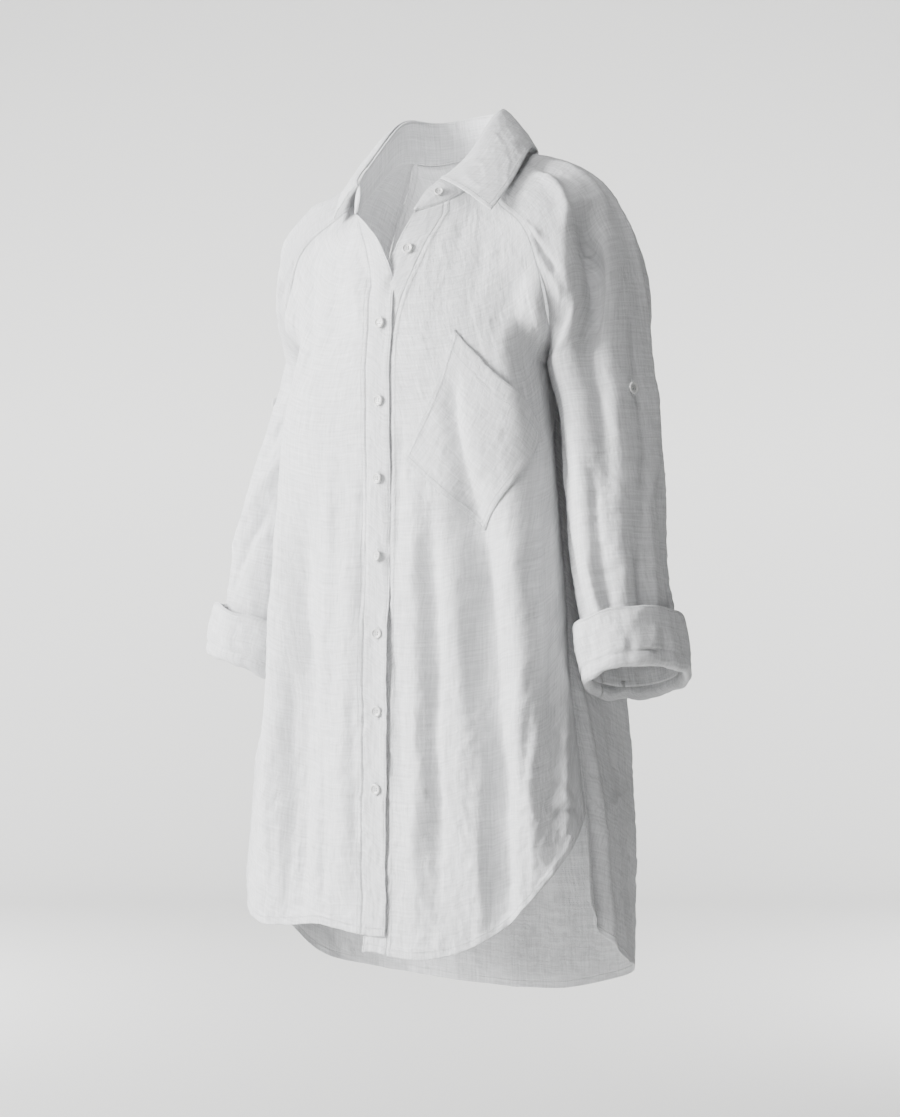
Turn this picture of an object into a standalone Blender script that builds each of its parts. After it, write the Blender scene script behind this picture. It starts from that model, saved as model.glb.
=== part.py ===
"""Linen shirt, worn shape, real size in metres. X is the wearer's left, -Y the front, +Z up.
The origin is the middle of the neck at the height of the neck seam."""

import math

import bpy
import numpy as np

# Driving sizes
WALL = 0.0012
SEAM_GAP = 0.0003
ARMPIT_GAP = 0.0024
BAND_WIDTH = 0.030
BAND_LIFT = 0.0024
BUTTON_RADIUS = 0.0057
BUTTON_HEIGHT = 0.0026
BUTTON_SPACING = 0.0805
SLEEVE_BUTTON_RADIUS = 0.0064
POCKET_GAP = 0.0014
POCKET_SWELL = 0.003
STAND_GAP = 0.0008
ARM_Z = -0.240

# Rows above the armpit. v runs from the neck seam to the armpit.
# front / back: centre line y, z.  seam: raglan seam.  top: outermost line of the sleeve.
UPPER = {
    "v": (0.0, 0.15, 0.35, 0.60, 0.85, 1.0),
    "front_y": (-0.112, -0.116, -0.121, -0.126, -0.1295, -0.131),
    "front_z": (-0.086, -0.103, -0.130, -0.168, -0.214, -0.240),
    "front_reach": (0.030, 0.034, 0.046, 0.064, 0.098, 0.122),
    "fseam_x": (0.076, 0.101, 0.136, 0.1570, 0.1640, 0.1330),
    "fseam_y": (-0.040, -0.060, -0.0700, -0.0730, -0.0580, 0.0070),
    "fseam_z": (-0.038, -0.069, -0.0960, -0.1350, -0.2000, -0.2400),
    "top_x": (0.074, 0.115, 0.160, 0.1930, 0.2130, 0.2210),
    "top_y": (-0.004, 0.002, 0.008, 0.0140, 0.0200, 0.0200),
    "top_z": (-0.012, -0.020, -0.038, -0.0800, -0.1500, -0.2150),
    "bseam_x": (0.066, 0.094, 0.127, 0.1520, 0.1600, 0.1330),
    "bseam_y": (0.024, 0.056, 0.081, 0.0920, 0.0850, 0.0200),
    "bseam_z": (-0.005, -0.024, -0.056, -0.1100, -0.1900, -0.2400),
    "opening": (50, 66, 80, 94, 112, 174.5),
    "back_y": (0.070, 0.090, 0.106, 0.116, 0.121, 0.122),
    "back_z": (0.003, -0.022, -0.064, -0.130, -0.204, -0.240),
    "back_reach": (0.040, 0.052, 0.070, 0.084, 0.088, 0.088),
}
# Rings below the armpit. side: side seam.  front_in / back_in: how the ring meets it.
LOWER = {
    "z": (-0.930, -0.800, -0.700, -0.600, -0.550, -0.500, -0.400, -0.320, -0.280, -0.240),
    "front_y": (-0.142, -0.138, -0.136, -0.134, -0.1335, -0.133, -0.132, -0.1315, -0.131, -0.131),
    "front_reach": (0.124, 0.112, 0.106, 0.106, 0.108, 0.110, 0.112, 0.116, 0.120, 0.122),
    "side_x": (0.226, 0.218, 0.208, 0.188, 0.178, 0.172, 0.154, 0.137, 0.133, 0.133),
    "side_y": (-0.066, -0.062, -0.057, -0.048, -0.042, -0.036, -0.020, -0.006, 0.004, 0.0135),
    "front_in_x": (0.018, 0.014, 0.014, 0.026, 0.036, 0.042, 0.058, 0.074, 0.052, 0.006),
    "front_in_y": (-0.060, -0.058, -0.060, -0.066, -0.070, -0.076, -0.088, -0.108, -0.120, -0.132),
    "back_in_x": (0.024, 0.022, 0.026, 0.034, 0.032, 0.028, 0.024, 0.022, 0.014, 0.002),
    "back_in_y": (0.150, 0.142, 0.138, 0.136, 0.132, 0.126, 0.114, 0.104, 0.096, 0.088),
    "back_y": (0.122, 0.120, 0.119, 0.118, 0.118, 0.118, 0.119, 0.121, 0.122, 0.122),
    "back_reach": (0.136, 0.132, 0.130, 0.128, 0.124, 0.118, 0.102, 0.092, 0.090, 0.088),
}
# Sleeve rings below the armpit: centre, half width across, half width front to back, lean.
ARM = {
    "z": (-0.600, -0.560, -0.520, -0.450, -0.370, -0.300, -0.262),
    "x": (0.2530, 0.2470, 0.2375, 0.2230, 0.2095, 0.1940, 0.1850),
    "y": (-0.0260, -0.0220, -0.0190, -0.0130, -0.0010, 0.0120, 0.0170),
    "across": (0.0420, 0.0420, 0.0425, 0.0440, 0.0460, 0.0450, 0.0445),
    "along": (0.0570, 0.0570, 0.0580, 0.0640, 0.0660, 0.0665, 0.0655),
    "lean": (0.32, 0.32, 0.30, 0.22, 0.16, 0.14, 0.16),
    "pitch": (-0.22, -0.22, -0.20, -0.12, -0.05, 0.0, 0.0),
}
# Free edge of the fronts above the closed part, and the turn-out of the right one.
NECK_EDGE = {
    "z": (-0.240, -0.210, -0.170, -0.129, -0.107, -0.092, -0.070),
    "left_x": (-0.013, -0.012, -0.004, 0.010, 0.0175, 0.0240, 0.0380),
    "right_x": (-0.017, -0.017, -0.0165, -0.011, -0.001, 0.0140, 0.0420),
}
# Hem height against the share of the panel's width, from the centre line to the side seam.
FRONT_HEM = {
    "share": (0.0, 0.12, 0.30, 0.50, 0.66, 0.78, 0.88, 0.95, 1.0),
    "z": (-0.848, -0.852, -0.849, -0.830, -0.800, -0.768, -0.738, -0.714, -0.700),
}
FRONT_HEM_RIGHT = {
    "share": (0.0, 0.12, 0.30, 0.50, 0.66, 0.78, 0.88, 0.95, 1.0),
    "z": (-0.832, -0.830, -0.826, -0.832, -0.832, -0.816, -0.780, -0.735, -0.700),
}
BACK_HEM = {
    "share": (0.0, 0.06, 0.12, 0.30, 0.55, 0.80, 1.0),
    "z": (-0.792, -0.826, -0.842, -0.866, -0.892, -0.914, -0.920),
}
BACK_HEM_RIGHT = {
    "share": (0.0, 0.06, 0.12, 0.20, 0.30, 0.50, 0.80, 1.0),
    "z": (-0.770, -0.795, -0.820, -0.855, -0.885, -0.907, -0.918, -0.920),
}
# Large soft folds of the body: place along the panel, width, depth, height where each starts.
FRONT_FOLDS = (
    {"share": 0.22, "width": 0.07, "depth": 0.0030, "from_z": -0.50},
    {"share": 0.46, "width": 0.08, "depth": -0.0070, "from_z": -0.42},
    {"share": 0.66, "width": 0.07, "depth": 0.0050, "from_z": -0.40},
    {"share": 0.84, "width": 0.06, "depth": -0.0050, "from_z": -0.50},
)
BACK_FOLDS = (
    {"share": 0.16, "width": 0.07, "depth": -0.0060, "from_z": -0.40},
    {"share": 0.36, "width": 0.08, "depth": 0.0060, "from_z": -0.30},
    {"share": 0.58, "width": 0.08, "depth": -0.0080, "from_z": -0.26},
    {"share": 0.80, "width": 0.07, "depth": 0.0060, "from_z": -0.34},
)
# The deep fold of the sleeve in front of the arm: angle from straight out, by height.
ARM_FOLD = {
    "z": (-0.260, -0.215, -0.170, -0.130, -0.095, -0.070),
    "angle": (-100, -86, -76, -66, -54, -46),
    "depth": (0.0, 0.002, 0.010, 0.013, 0.008, 0.0),
}
# Collar stand against the share of its length from the left front end: height, lean inwards.
STAND = {
    "share": (0.0, 0.015, 0.04, 0.08, 0.20, 0.35, 0.50, 0.65, 0.80, 0.92, 0.96, 0.985, 1.0),
    "height": (0.004, 0.016, 0.024, 0.029, 0.040, 0.046, 0.043, 0.046, 0.040, 0.032, 0.026, 0.016, 0.004),
    "lean": (0.50, 0.50, 0.50, 0.45, 0.30, 0.25, 0.15, 0.15, 0.12, 0.15, 0.15, 0.15, 0.15),
}
# Outer edge of the collar fall, from the left point round the back to the right point.
FALL = {
    "share": (0.0, 0.13, 0.28, 0.42, 0.50, 0.58, 0.72, 0.87, 1.0),
    "x": (0.1145, 0.1165, 0.1060, 0.0600, 0.0, -0.0620, -0.1060, -0.1090, -0.1000),
    "y": (-0.0900, -0.0560, -0.0020, 0.0740, 0.1060, 0.0800, 0.0040, -0.0500, -0.0780),
    "z": (-0.0840, -0.0520, -0.0080, -0.0060, -0.0080, -0.0060, -0.0060, -0.0440, -0.0760),
}
FALL_START = 0.055
FOLD_RISE = 0.0010
FOLD_OUT = 0.0018
# How the right neck edge is lifted over the left front and turned out.
LAPEL = {"turn_from_z": -0.165, "turn_over": 0.085, "reach": 0.030, "forward": 0.013, "across": 0.006}
LAPEL_FLAT = {"from_x": 0.012, "over": 0.045}
# How the right side of the neck opens: where along y, how wide, how far in or out.
NECK_PINCH = {"y": -0.035, "width": 0.028, "by": 0.009}
NECK_FLARE = {"y": -0.105, "width": 0.030, "by": -0.010}
# Corners of the pocket on the left front: share across from the centre line, and height.
POCKET = {
    "corner": ("top", "right", "bottom", "left"),
    "share": (0.43, 0.76, 0.49, 0.13),
    "z": (-0.207, -0.303, -0.413, -0.338),
}
BUTTON_TOP = -0.197
SECOND_BUTTON = {"x": 0.0490, "z": -0.1204}
STAND_BUTTON = {"share": 0.052, "rise": 0.50}
SLEEVE_BUTTON = {"z": -0.272, "angle": -18}
SLEEVE_END = -0.556
CUFF_ROOM = 0.0095
CUFF_ROLL = 0.0080
CUFF_TOP = -0.509


def spline(table, column, at, key):
    """Smooth curve through one column of a table, clamped at its ends."""
    xs = np.array(table[key], float)
    ys = np.array(table[column], float)
    if xs[0] > xs[-1]:
        xs, ys = xs[::-1], ys[::-1]
    slope = np.gradient(ys, xs)
    at = np.clip(np.asarray(at, float), xs[0], xs[-1])
    i = np.clip(np.searchsorted(xs, at, side="right") - 1, 0, len(xs) - 2)
    step = xs[i + 1] - xs[i]
    t = (at - xs[i]) / step
    a, b = ys[i], ys[i + 1]
    m, n = slope[i] * step, slope[i + 1] * step
    return a + t * m + t * t * (3 * (b - a) - 2 * m - n) + t ** 3 * (2 * (a - b) + m + n)


def point3(table, prefix, at, key):
    return np.stack([spline(table, prefix + axis, at, key) for axis in ("x", "y", "z")], -1)


def bezier(points, count):
    """Points evenly spaced along a cubic curve."""
    t = np.linspace(0, 1, 65)[:, None]
    a, b, c, d = (np.asarray(p, float) for p in points)
    path = a * (1 - t) ** 3 + 3 * b * t * (1 - t) ** 2 + 3 * c * t * t * (1 - t) + d * t ** 3
    return even(path, np.linspace(0, 1, count))


def even(path, shares):
    """Points of a path at shares of its length."""
    run = np.concatenate([[0], np.cumsum(np.linalg.norm(np.diff(path, axis=0), axis=1))])
    return np.stack([np.interp(shares, run / run[-1], path[:, k]) for k in range(3)], -1)


def sleeve_section(v):
    """Centre and half axes of the sleeve's section at row v, and its half opening angle."""
    front = point3(UPPER, "fseam_", v, "v")
    back = point3(UPPER, "bseam_", v, "v")
    top = point3(UPPER, "top_", v, "v")
    angle = math.radians(spline(UPPER, "opening", v, "v"))
    ends = math.radians(UPPER["opening"][-1])
    stations = []
    for i, at in enumerate(UPPER["v"]):
        span = point3(UPPER, "bseam_", at, "v") - point3(UPPER, "fseam_", at, "v")
        stations.append(span / 2 / math.sin(math.radians(UPPER["opening"][i])))
    stations[-1] = np.array([0.0, 0.0660, 0.0])
    stations = np.array(stations)
    table = {"v": UPPER["v"], "x": stations[:, 0], "y": stations[:, 1], "z": stations[:, 2]}
    along = point3(table, "", v, "v")
    middle = (front + back) / 2
    across = (top - middle) / (1 - math.cos(angle))
    return top - across, across, along, min(angle, ends)


def arm_fold(points, angles, centre):
    """Presses the deep fold in front of the arm into a section."""
    z = points[:, 2]
    where = np.radians(spline(ARM_FOLD, "angle", z, "z"))
    depth = spline(ARM_FOLD, "depth", z, "z") * ((z > -0.262) & (z < -0.068))
    ridge = np.exp(-(((angles - where + 0.42) / 0.30) ** 2))
    press = np.exp(-(((angles - where) / 0.30) ** 2))
    press = press * np.clip((angles - angles[0]) / 0.5, 0, 1)
    ridge = ridge * np.clip((angles - angles[0]) / 0.5, 0, 1)
    inward = centre - points
    inward = inward / np.linalg.norm(inward, axis=1)[:, None]
    return points + inward * (depth * (press - 0.25 * ridge))[:, None]


def arm_section(z, room=0.0):
    """Centre and half axes of the sleeve's tube at height z, made larger by room."""
    centre = np.array([spline(ARM, "x", z, "z"), spline(ARM, "y", z, "z"), z])
    lean, pitch = spline(ARM, "lean", z, "z"), spline(ARM, "pitch", z, "z")
    across = np.array([1.0, 0.0, lean]) * (spline(ARM, "across", z, "z") + room)
    along = np.array([0.0, 1.0, pitch]) * (spline(ARM, "along", z, "z") + room)
    return centre, across, along


def sleeve_row(q, count):
    """One row of the left sleeve. q up to 1 is above the armpit, then 1 to 2 runs to the cuff."""
    if q <= 1:
        centre, across, along, angle = sleeve_section(q)
    else:
        z = ARM_Z + (q - 1) * (SLEEVE_END - ARM_Z)
        centre, across, along = arm_section(z)
        first = sleeve_section(1.0)
        blend = min(1.0, (q - 1) / 0.12)
        blend = blend * blend * (3 - 2 * blend)
        centre = first[0] * (1 - blend) + centre * blend
        centre[2] = first[0][2] * (1 - blend) + z * blend
        across = first[1] * (1 - blend) + across * blend
        along = first[2] * (1 - blend) + along * blend
        angle = math.pi
    angles = np.linspace(-angle, angle, count)
    points = centre + across * np.cos(angles)[:, None] + along * np.sin(angles)[:, None]
    return arm_fold(points, angles, centre)


def seam_direction(q, side):
    """Unit direction in which the sleeve leaves the seam at row q; side is -1 in front, 1 behind."""
    row = sleeve_row(q, 41)
    step = row[1] - row[0] if side < 0 else row[-2] - row[-1]
    return step / np.linalg.norm(step)


def folds(points, shares, table, outward):
    """Adds the large soft folds; they start softly at from_z and grow down to the hem."""
    moved = points.copy()
    for fold in table:
        grow = np.clip((fold["from_z"] - points[:, 2]) / 0.30, 0, 1)
        grow = grow * grow * (3 - 2 * grow)
        bump = np.exp(-(((shares - fold["share"]) / fold["width"]) ** 2))
        moved = moved + outward * (fold["depth"] * grow * bump)[:, None]
    return moved


def torso_row(part, q, count, z=None):
    """One row of the left half from the centre line to the seam, for part 'front' or 'back'."""
    side = -1 if part == "front" else 1
    if q <= 1:
        middle = np.array([0.0, spline(UPPER, part + "_y", q, "v"), spline(UPPER, part + "_z", q, "v")])
        reach = spline(UPPER, part + "_reach", q, "v")
        seam = point3(UPPER, part[0] + "seam_", q, "v")
        leave = seam_direction(q, side)
        low = np.array([LOWER[part + "_in_x"][-1], LOWER[part + "_in_y"][-1], 0.0])
        span = UPPER[part[0] + "seam_y"][-1] - UPPER[part + "_y"][-1]
        low = low * (seam[1] - middle[1]) / span
        size = 0.40 * np.linalg.norm(seam - middle)
        turn = min(1.0, max(0.0, (q - 0.45) / 0.38)) ** 1.5
        handle = -leave * size * (1 - turn) + low * turn
        rise = (seam[2] - middle[2]) * 0.25
        return bezier((middle, middle + [reach, 0, max(rise, 0) * 0.2], seam + handle, seam), count)
    values = {name: spline(LOWER, name, z, "z") for name in LOWER if name != "z"}
    middle = np.array([0.0, values[part + "_y"], z])
    seam = np.array([values["side_x"], values["side_y"], z])
    handle = np.array([values[part + "_in_x"], values[part + "_in_y"], 0.0])
    return bezier((middle, middle + [values[part + "_reach"], 0, 0], seam + handle, seam), count)


def normals_of(grid):
    """Outward unit normals of a grid of points, rows down, columns from the centre to the side."""
    down = np.gradient(grid, axis=0)
    along = np.gradient(grid, axis=1)
    out = np.cross(down, along)
    return out / np.maximum(np.linalg.norm(out, axis=2), 1e-12)[..., None]


def torso_grid(part, columns, upper_rows, lower_rows, hem):
    """Grid of the left half: rows from the neck to the hem, columns from the centre to the seam."""
    rows = [torso_row(part, q, columns) for q in np.linspace(0, 1, upper_rows)]
    shares = np.linspace(0, 1, columns)
    ends = spline(hem, "z", shares if part == "front" else 1 - shares, "share")
    levels = np.linspace(0, 1, lower_rows + 1)[1:]
    heights = np.linspace(ARM_Z, LOWER["z"][0], 41)
    rings = np.array([torso_row(part, 2, columns, z) for z in heights])
    for level in levels:
        row = np.empty((columns, 3))
        for j in range(columns):
            z = ARM_Z + level * (ends[j] - ARM_Z)
            for k in range(3):
                row[j, k] = np.interp(-z, -heights, rings[:, j, k])
        rows.append(row)
    grid = np.array(rows)
    out = normals_of(grid)
    table = FRONT_FOLDS if part == "front" else BACK_FOLDS
    along = shares if part == "front" else 1 - shares
    for i in range(len(grid)):
        grid[i] = folds(grid[i], along, table, out[i])
    return grid


def sample(grid, shares, row):
    """Points of a half grid at signed shares of one row; a negative share is mirrored in X."""
    shares = np.asarray(shares, float)
    i = min(int(row), len(grid) - 2)
    line = grid[i] * (1 - (row - i)) + grid[i + 1] * (row - i)
    at = np.abs(shares) * (grid.shape[1] - 1)
    found = np.stack([np.interp(at, np.arange(grid.shape[1]), line[:, k]) for k in range(3)], -1)
    found[:, 0] *= np.where(shares < 0, -1, 1)
    return found


def share_at(line, x):
    """Signed share of a row at which it is x from the centre line."""
    near = line[: len(line) // 2, 0]
    return math.copysign(np.interp(abs(x), near, np.arange(len(near))) / (len(line) - 1), x)


def front_strip(grid, rows, columns, edges, right):
    """Points of one front piece. edges gives, by height, the two limits across from the centre."""
    strip = []
    for row in rows:
        i = min(int(row), len(grid) - 2)
        line = grid[i] * (1 - (row - i)) + grid[i + 1] * (row - i)
        z = line[0, 2]
        first = share_at(line, edges[0](z))
        last = 1.0 if edges[1] is None else share_at(line, edges[1](z))
        ease = np.linspace(0, 1, columns)
        strip.append(sample(grid, first + (last - first) * ease, row))
    strip = np.array(strip)
    if right:
        strip = lap(strip)
        strip[..., 0] *= -1
        strip = strip[:, ::-1]
    return strip


def lap(strip):
    """Lifts the right front over the left one near the centre and turns its top out."""
    x, z = strip[..., 0], strip[..., 2]
    away = np.clip((x - LAPEL_FLAT["from_x"]) / LAPEL_FLAT["over"], 0, 1)
    lift = BAND_LIFT * (1 - away * away * (3 - 2 * away))
    free = spline(NECK_EDGE, "right_x", z, "z")
    open_part = np.clip((z - LAPEL["turn_from_z"]) / LAPEL["turn_over"], 0, 1)
    open_part = open_part * open_part * (3 - 2 * open_part)
    reach = np.clip(1 - (x - free) / LAPEL["reach"], 0, 1.2) ** 2
    strip = strip.copy()
    strip[..., 1] -= lift + LAPEL["forward"] * open_part * reach
    strip[..., 0] += LAPEL["across"] * open_part * reach
    return strip


def left_free(z):
    return float(spline(NECK_EDGE, "left_x", z, "z"))


def left_seam(z):
    return left_free(z) + BAND_WIDTH


def right_free(z):
    return float(spline(NECK_EDGE, "right_x", z, "z"))


def right_seam(z):
    return right_free(z) + BAND_WIDTH


def open_collar(points):
    """Opens the right side of the neck outwards, on every piece that reaches it."""
    x, y, z = points[..., 0], points[..., 1], points[..., 2]
    high = np.clip((z + 0.13) / 0.07, 0, 1)
    side = np.clip((-x - 0.02) / 0.03, 0, 1) * np.exp(-(np.clip(-x - 0.08, 0, None) / 0.02) ** 2)
    moved = points.copy()
    for place in (NECK_PINCH, NECK_FLARE):
        moved[..., 0] += high * side * place["by"] * np.exp(-(((y - place["y"]) / place["width"]) ** 2))
    return moved


def grid_faces(rows, columns, base=0):
    faces = []
    for i in range(rows - 1):
        for j in range(columns - 1):
            a = base + i * columns + j
            faces.append((a, a + columns, a + columns + 1, a + 1))
    return faces


def vertex_normals(points, faces):
    """Outward unit normals at the points of an open surface."""
    normals = np.zeros_like(points)
    for face in faces:
        a, b, c, d = points[list(face)]
        out = np.cross(c - a, d - b)
        for index in face:
            normals[index] += out
    return normals / np.maximum(np.linalg.norm(normals, axis=1), 1e-12)[:, None]


def add_mesh(name, points, faces, material):
    mesh = bpy.data.meshes.new(name)
    mesh.from_pydata([tuple(p) for p in points], [], faces)
    for polygon in mesh.polygons:
        polygon.use_smooth = True
    mesh.update()
    made = bpy.data.objects.new(name, mesh)
    bpy.context.scene.collection.objects.link(made)
    look = bpy.data.materials.new(name)
    look.use_nodes = True
    shader = look.node_tree.nodes["Principled BSDF"]
    shader.inputs["Base Color"].default_value = (*material["colour"], 1)
    shader.inputs["Roughness"].default_value = material["rough"]
    mesh.materials.append(look)
    return made


LINEN = {"colour": (0.80, 0.81, 0.82), "rough": 0.9}
SHELL = {"colour": (0.82, 0.82, 0.82), "rough": 0.35}


def cloth(name, points, faces, wall=WALL, normals=None):
    """A closed cloth wall: the surface given is its outer face, and the wall goes inwards."""
    points = np.asarray(points, float)
    if normals is None:
        normals = vertex_normals(points, faces)
    count = len(points)
    both = np.concatenate([points, points - normals * wall])
    solid = [tuple(f) for f in faces]
    solid += [tuple(count + i for i in reversed(f)) for f in faces]
    edges = {}
    for face in faces:
        for a, b in zip(face, face[1:] + face[:1]):
            edges[(a, b)] = True
    for a, b in edges:
        if (b, a) not in edges:
            solid.append((b, a, count + a, count + b))
    return add_mesh(name, both, solid, LINEN)


def pull_in(grid, top=0.0, bottom=0.0, first=0.0, last=0.0):
    """Moves the borders of a grid inwards along the surface."""
    grid = grid.copy()
    for line, other, by in ((0, 1, top), (-1, -2, bottom)):
        step = grid[other] - grid[line]
        grid[line] += by * step / np.maximum(np.linalg.norm(step, axis=1), 1e-9)[:, None]
    for line, other, by in ((0, 1, first), (-1, -2, last)):
        step = grid[:, other] - grid[:, line]
        grid[:, line] += by * step / np.maximum(np.linalg.norm(step, axis=1), 1e-9)[:, None]
    return grid


def mirrored(grid):
    """The same grid on the wearer's right, still facing outwards."""
    flipped = grid[:, ::-1].copy()
    flipped[..., 0] *= -1
    return flipped


UPPER_ROWS, LOWER_ROWS, HALF_COLUMNS, BACK_COLUMNS = 11, 9, 33, 13
SLEEVE_COLUMNS, SLEEVE_LOWER = 25, 9
ARMPIT_ROWS = 8


def panel_rows():
    return list(range(UPPER_ROWS)) + [UPPER_ROWS - 1 + i for i in range(1, LOWER_ROWS + 1)]


def sleeve_grid():
    """Rows of the left sleeve: the open part above the armpit, then the tube below it."""
    rows = [sleeve_row(q, SLEEVE_COLUMNS) for q in np.linspace(0, 1, UPPER_ROWS)]
    for q in np.linspace(1, 2, SLEEVE_LOWER + 1)[1:]:
        rows.append(sleeve_row(q, SLEEVE_COLUMNS))
    return np.array(rows)


def sleeve_mesh(grid):
    """Points and faces of a sleeve grid, closed along the underarm below the armpit."""
    rows, columns = grid.shape[:2]
    index = np.arange(rows * columns).reshape(rows, columns)
    index[UPPER_ROWS:, -1] = index[UPPER_ROWS:, 0]
    used = np.unique(index)
    number = np.zeros(rows * columns, int)
    number[used] = np.arange(len(used))
    faces = []
    for i in range(rows - 1):
        for j in range(columns - 1):
            quad = (index[i, j], index[i + 1, j], index[i + 1, j + 1], index[i, j + 1])
            faces.append(tuple(int(number[k]) for k in quad))
    return grid.reshape(-1, 3)[used], faces


def build_body(halves, sleeve):
    gap = SEAM_GAP / 2
    rows = panel_rows()
    left = front_strip(halves["front_left"], rows, 20, (left_seam, None), False)
    band = front_strip(halves["front_left"], rows, 4, (left_free, left_seam), False)
    right = front_strip(halves["front_right"], rows, 17, (right_seam, None), True)
    right_band = front_strip(halves["front_right"], rows, 4, (right_free, right_seam), True)
    left_back = halves["back_left"][:, ::-1]
    right_back = mirrored(halves["back_right"][:, ::-1])
    whole_back = np.concatenate([left_back, right_back[:, 1:]], axis=1)
    near_arm = np.full(len(rows), gap)
    near_arm[ARMPIT_ROWS:UPPER_ROWS] = ARMPIT_GAP
    near_arm = near_arm[:, None]
    pieces = {
        "front_left": pull_in(left, top=gap, first=gap, last=near_arm),
        "front_band_left": pull_in(band, top=gap, last=gap),
        "front_right": pull_in(right, top=gap, first=near_arm, last=gap),
        "front_band_right": pull_in(right_band, top=gap, first=gap),
        "back": pull_in(whole_back, top=gap, first=gap, last=gap),
    }
    for name, grid in pieces.items():
        grid = open_collar(grid)
        cloth(name, grid.reshape(-1, 3), grid_faces(*grid.shape[:2]))
    for name, grid in (("sleeve_left", sleeve), ("sleeve_right", mirrored(sleeve))):
        grid = pull_in(open_collar(grid), top=gap)
        edge = near_arm[:UPPER_ROWS]
        upper = pull_in(grid[:UPPER_ROWS], first=edge, last=edge)
        grid = np.concatenate([upper, grid[UPPER_ROWS:]])
        points, faces = sleeve_mesh(grid)
        cloth(name, points, faces)
    return pieces


def neck_line(pieces, sleeve):
    """The neck seam from the left front end round the back to the right front end."""
    tops = [pieces["front_band_left"][0], pieces["front_left"][0], sleeve[0], pieces["back"][0]]
    tops += [mirrored(sleeve)[0], pieces["front_right"][0], pieces["front_band_right"][0]]
    line = open_collar(np.concatenate(tops))
    line = even(line, np.linspace(0, 1, 97))
    for _ in range(6):
        line[1:-1] = (line[:-2] + 2 * line[1:-1] + line[2:]) / 4
    return line


def stand_grid(line, columns, rows):
    """Rows of the collar stand from its top edge down to the neck seam, seen from outside."""
    shares = np.linspace(0, 1, columns)
    base = even(line, shares) + np.array([0, 0, STAND_GAP])
    run = np.gradient(base, axis=0)
    out = np.stack([-run[:, 1], run[:, 0], np.zeros(columns)], -1)
    out /= np.linalg.norm(out, axis=1)[:, None]
    if (out * base).sum() < 0:
        out = -out
    height = spline(STAND, "height", shares, "share")[:, None]
    lean = spline(STAND, "lean", shares, "share")[:, None]
    grid = []
    for rise in np.linspace(1, 0, rows):
        belly = 0.0020 * np.sin(math.pi * rise)
        grid.append(base + np.array([0, 0, 1.0]) * height * rise + out * (belly - lean * height * rise))
    return np.array(grid), out


def fall_grid(line, columns, rows):
    """Rows of the collar fall from the fold at the top of the stand to its outer edge."""
    dense, out = stand_grid(line, 97, 2)
    first, last = FALL_START, 1 - FALL_START
    shares = np.linspace(0, 1, columns)
    at = (first + (last - first) * shares) * 96
    start = np.stack([np.interp(at, np.arange(97), dense[0][:, k]) for k in range(3)], -1)
    away = np.stack([np.interp(at, np.arange(97), out[:, k]) for k in range(3)], -1)
    edge = np.stack([spline(FALL, axis, shares, "share") for axis in ("x", "y", "z")], -1)
    up = np.array([0, 0, 1.0])
    start = start + up * FOLD_RISE + away * FOLD_OUT
    grid = np.empty((rows, columns, 3))
    for j in range(columns):
        bend = start[j] + away[j] * 0.004 + up * 0.003
        fall = edge[j] + (start[j] - edge[j]) * 0.45 + away[j] * 0.004 + up * 0.004
        grid[:, j] = bezier((start[j], bend, fall, edge[j]), rows)
    return grid


def cuff_grid(columns):
    """The turned-up cuff: down inside the sleeve's end, round the roll, up outside to the free edge."""
    steps = [(0.0, SLEEVE_END - SEAM_GAP), (0.0, SLEEVE_END - 0.004)]
    for turn in np.radians((200, 235, 270, 305, 340)):
        middle = SLEEVE_END - 0.004
        room = CUFF_ROOM / 2 + CUFF_ROOM / 2 * math.cos(turn) * 1.06
        steps.append((room, middle + CUFF_ROLL * math.sin(turn)))
    for share in (0.0, 0.33, 0.66, 1.0):
        z = SLEEVE_END + 0.002 + share * (CUFF_TOP - SLEEVE_END - 0.002)
        steps.append((CUFF_ROOM + 0.0015 * math.sin(math.pi * share), z))
    angles = np.linspace(-math.pi, math.pi, columns)
    rows = []
    for room, z in reversed(steps):
        centre, across, along = arm_section(z, room)
        rows.append(centre + across * np.cos(angles)[:, None] + along * np.sin(angles)[:, None])
    return np.array(rows)


def tube_mesh(grid):
    """Points and faces of a grid whose first and last columns meet."""
    rows, columns = grid.shape[:2]
    points = grid[:, :-1].reshape(-1, 3)
    faces = []
    for i in range(rows - 1):
        for j in range(columns - 1):
            a, b = i * (columns - 1) + j, i * (columns - 1) + (j + 1) % (columns - 1)
            faces.append((a, a + columns - 1, b + columns - 1, b))
    return points, faces


def at_height(half, share, z):
    """Point and outward normal of a half grid at a share of its width and a height."""
    lines = np.array([sample(half, [share - 0.01, share, share + 0.01], i) for i in range(len(half))])
    found = np.array([[np.interp(-z, -lines[:, k, 2], lines[:, k, a]) for a in range(3)] for k in range(3)])
    low = np.array([np.interp(-z + 0.01, -lines[:, 1, 2], lines[:, 1, a]) for a in range(3)])
    out = np.cross(low - found[1], found[2] - found[0])
    return found[1], out / np.linalg.norm(out)


def pocket_grid(half, columns):
    """The pocket, laid a little out from the left front between its four corners."""
    share, height = np.array(POCKET["share"]), np.array(POCKET["z"])
    grid = np.empty((columns, columns, 3))
    for i, down in enumerate(np.linspace(0, 1, columns)):
        for j, along in enumerate(np.linspace(0, 1, columns)):
            weights = np.array([
                (1 - down) * (1 - along),
                (1 - down) * along,
                down * along,
                down * (1 - along),
            ])
            point, out = at_height(half, float(weights @ share), float(weights @ height))
            swell = POCKET_SWELL * math.sin(math.pi * along) * math.cos(math.pi / 2 * down) ** 2
            grid[i, j] = point + out * (WALL + POCKET_GAP + swell)
    return grid


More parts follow.
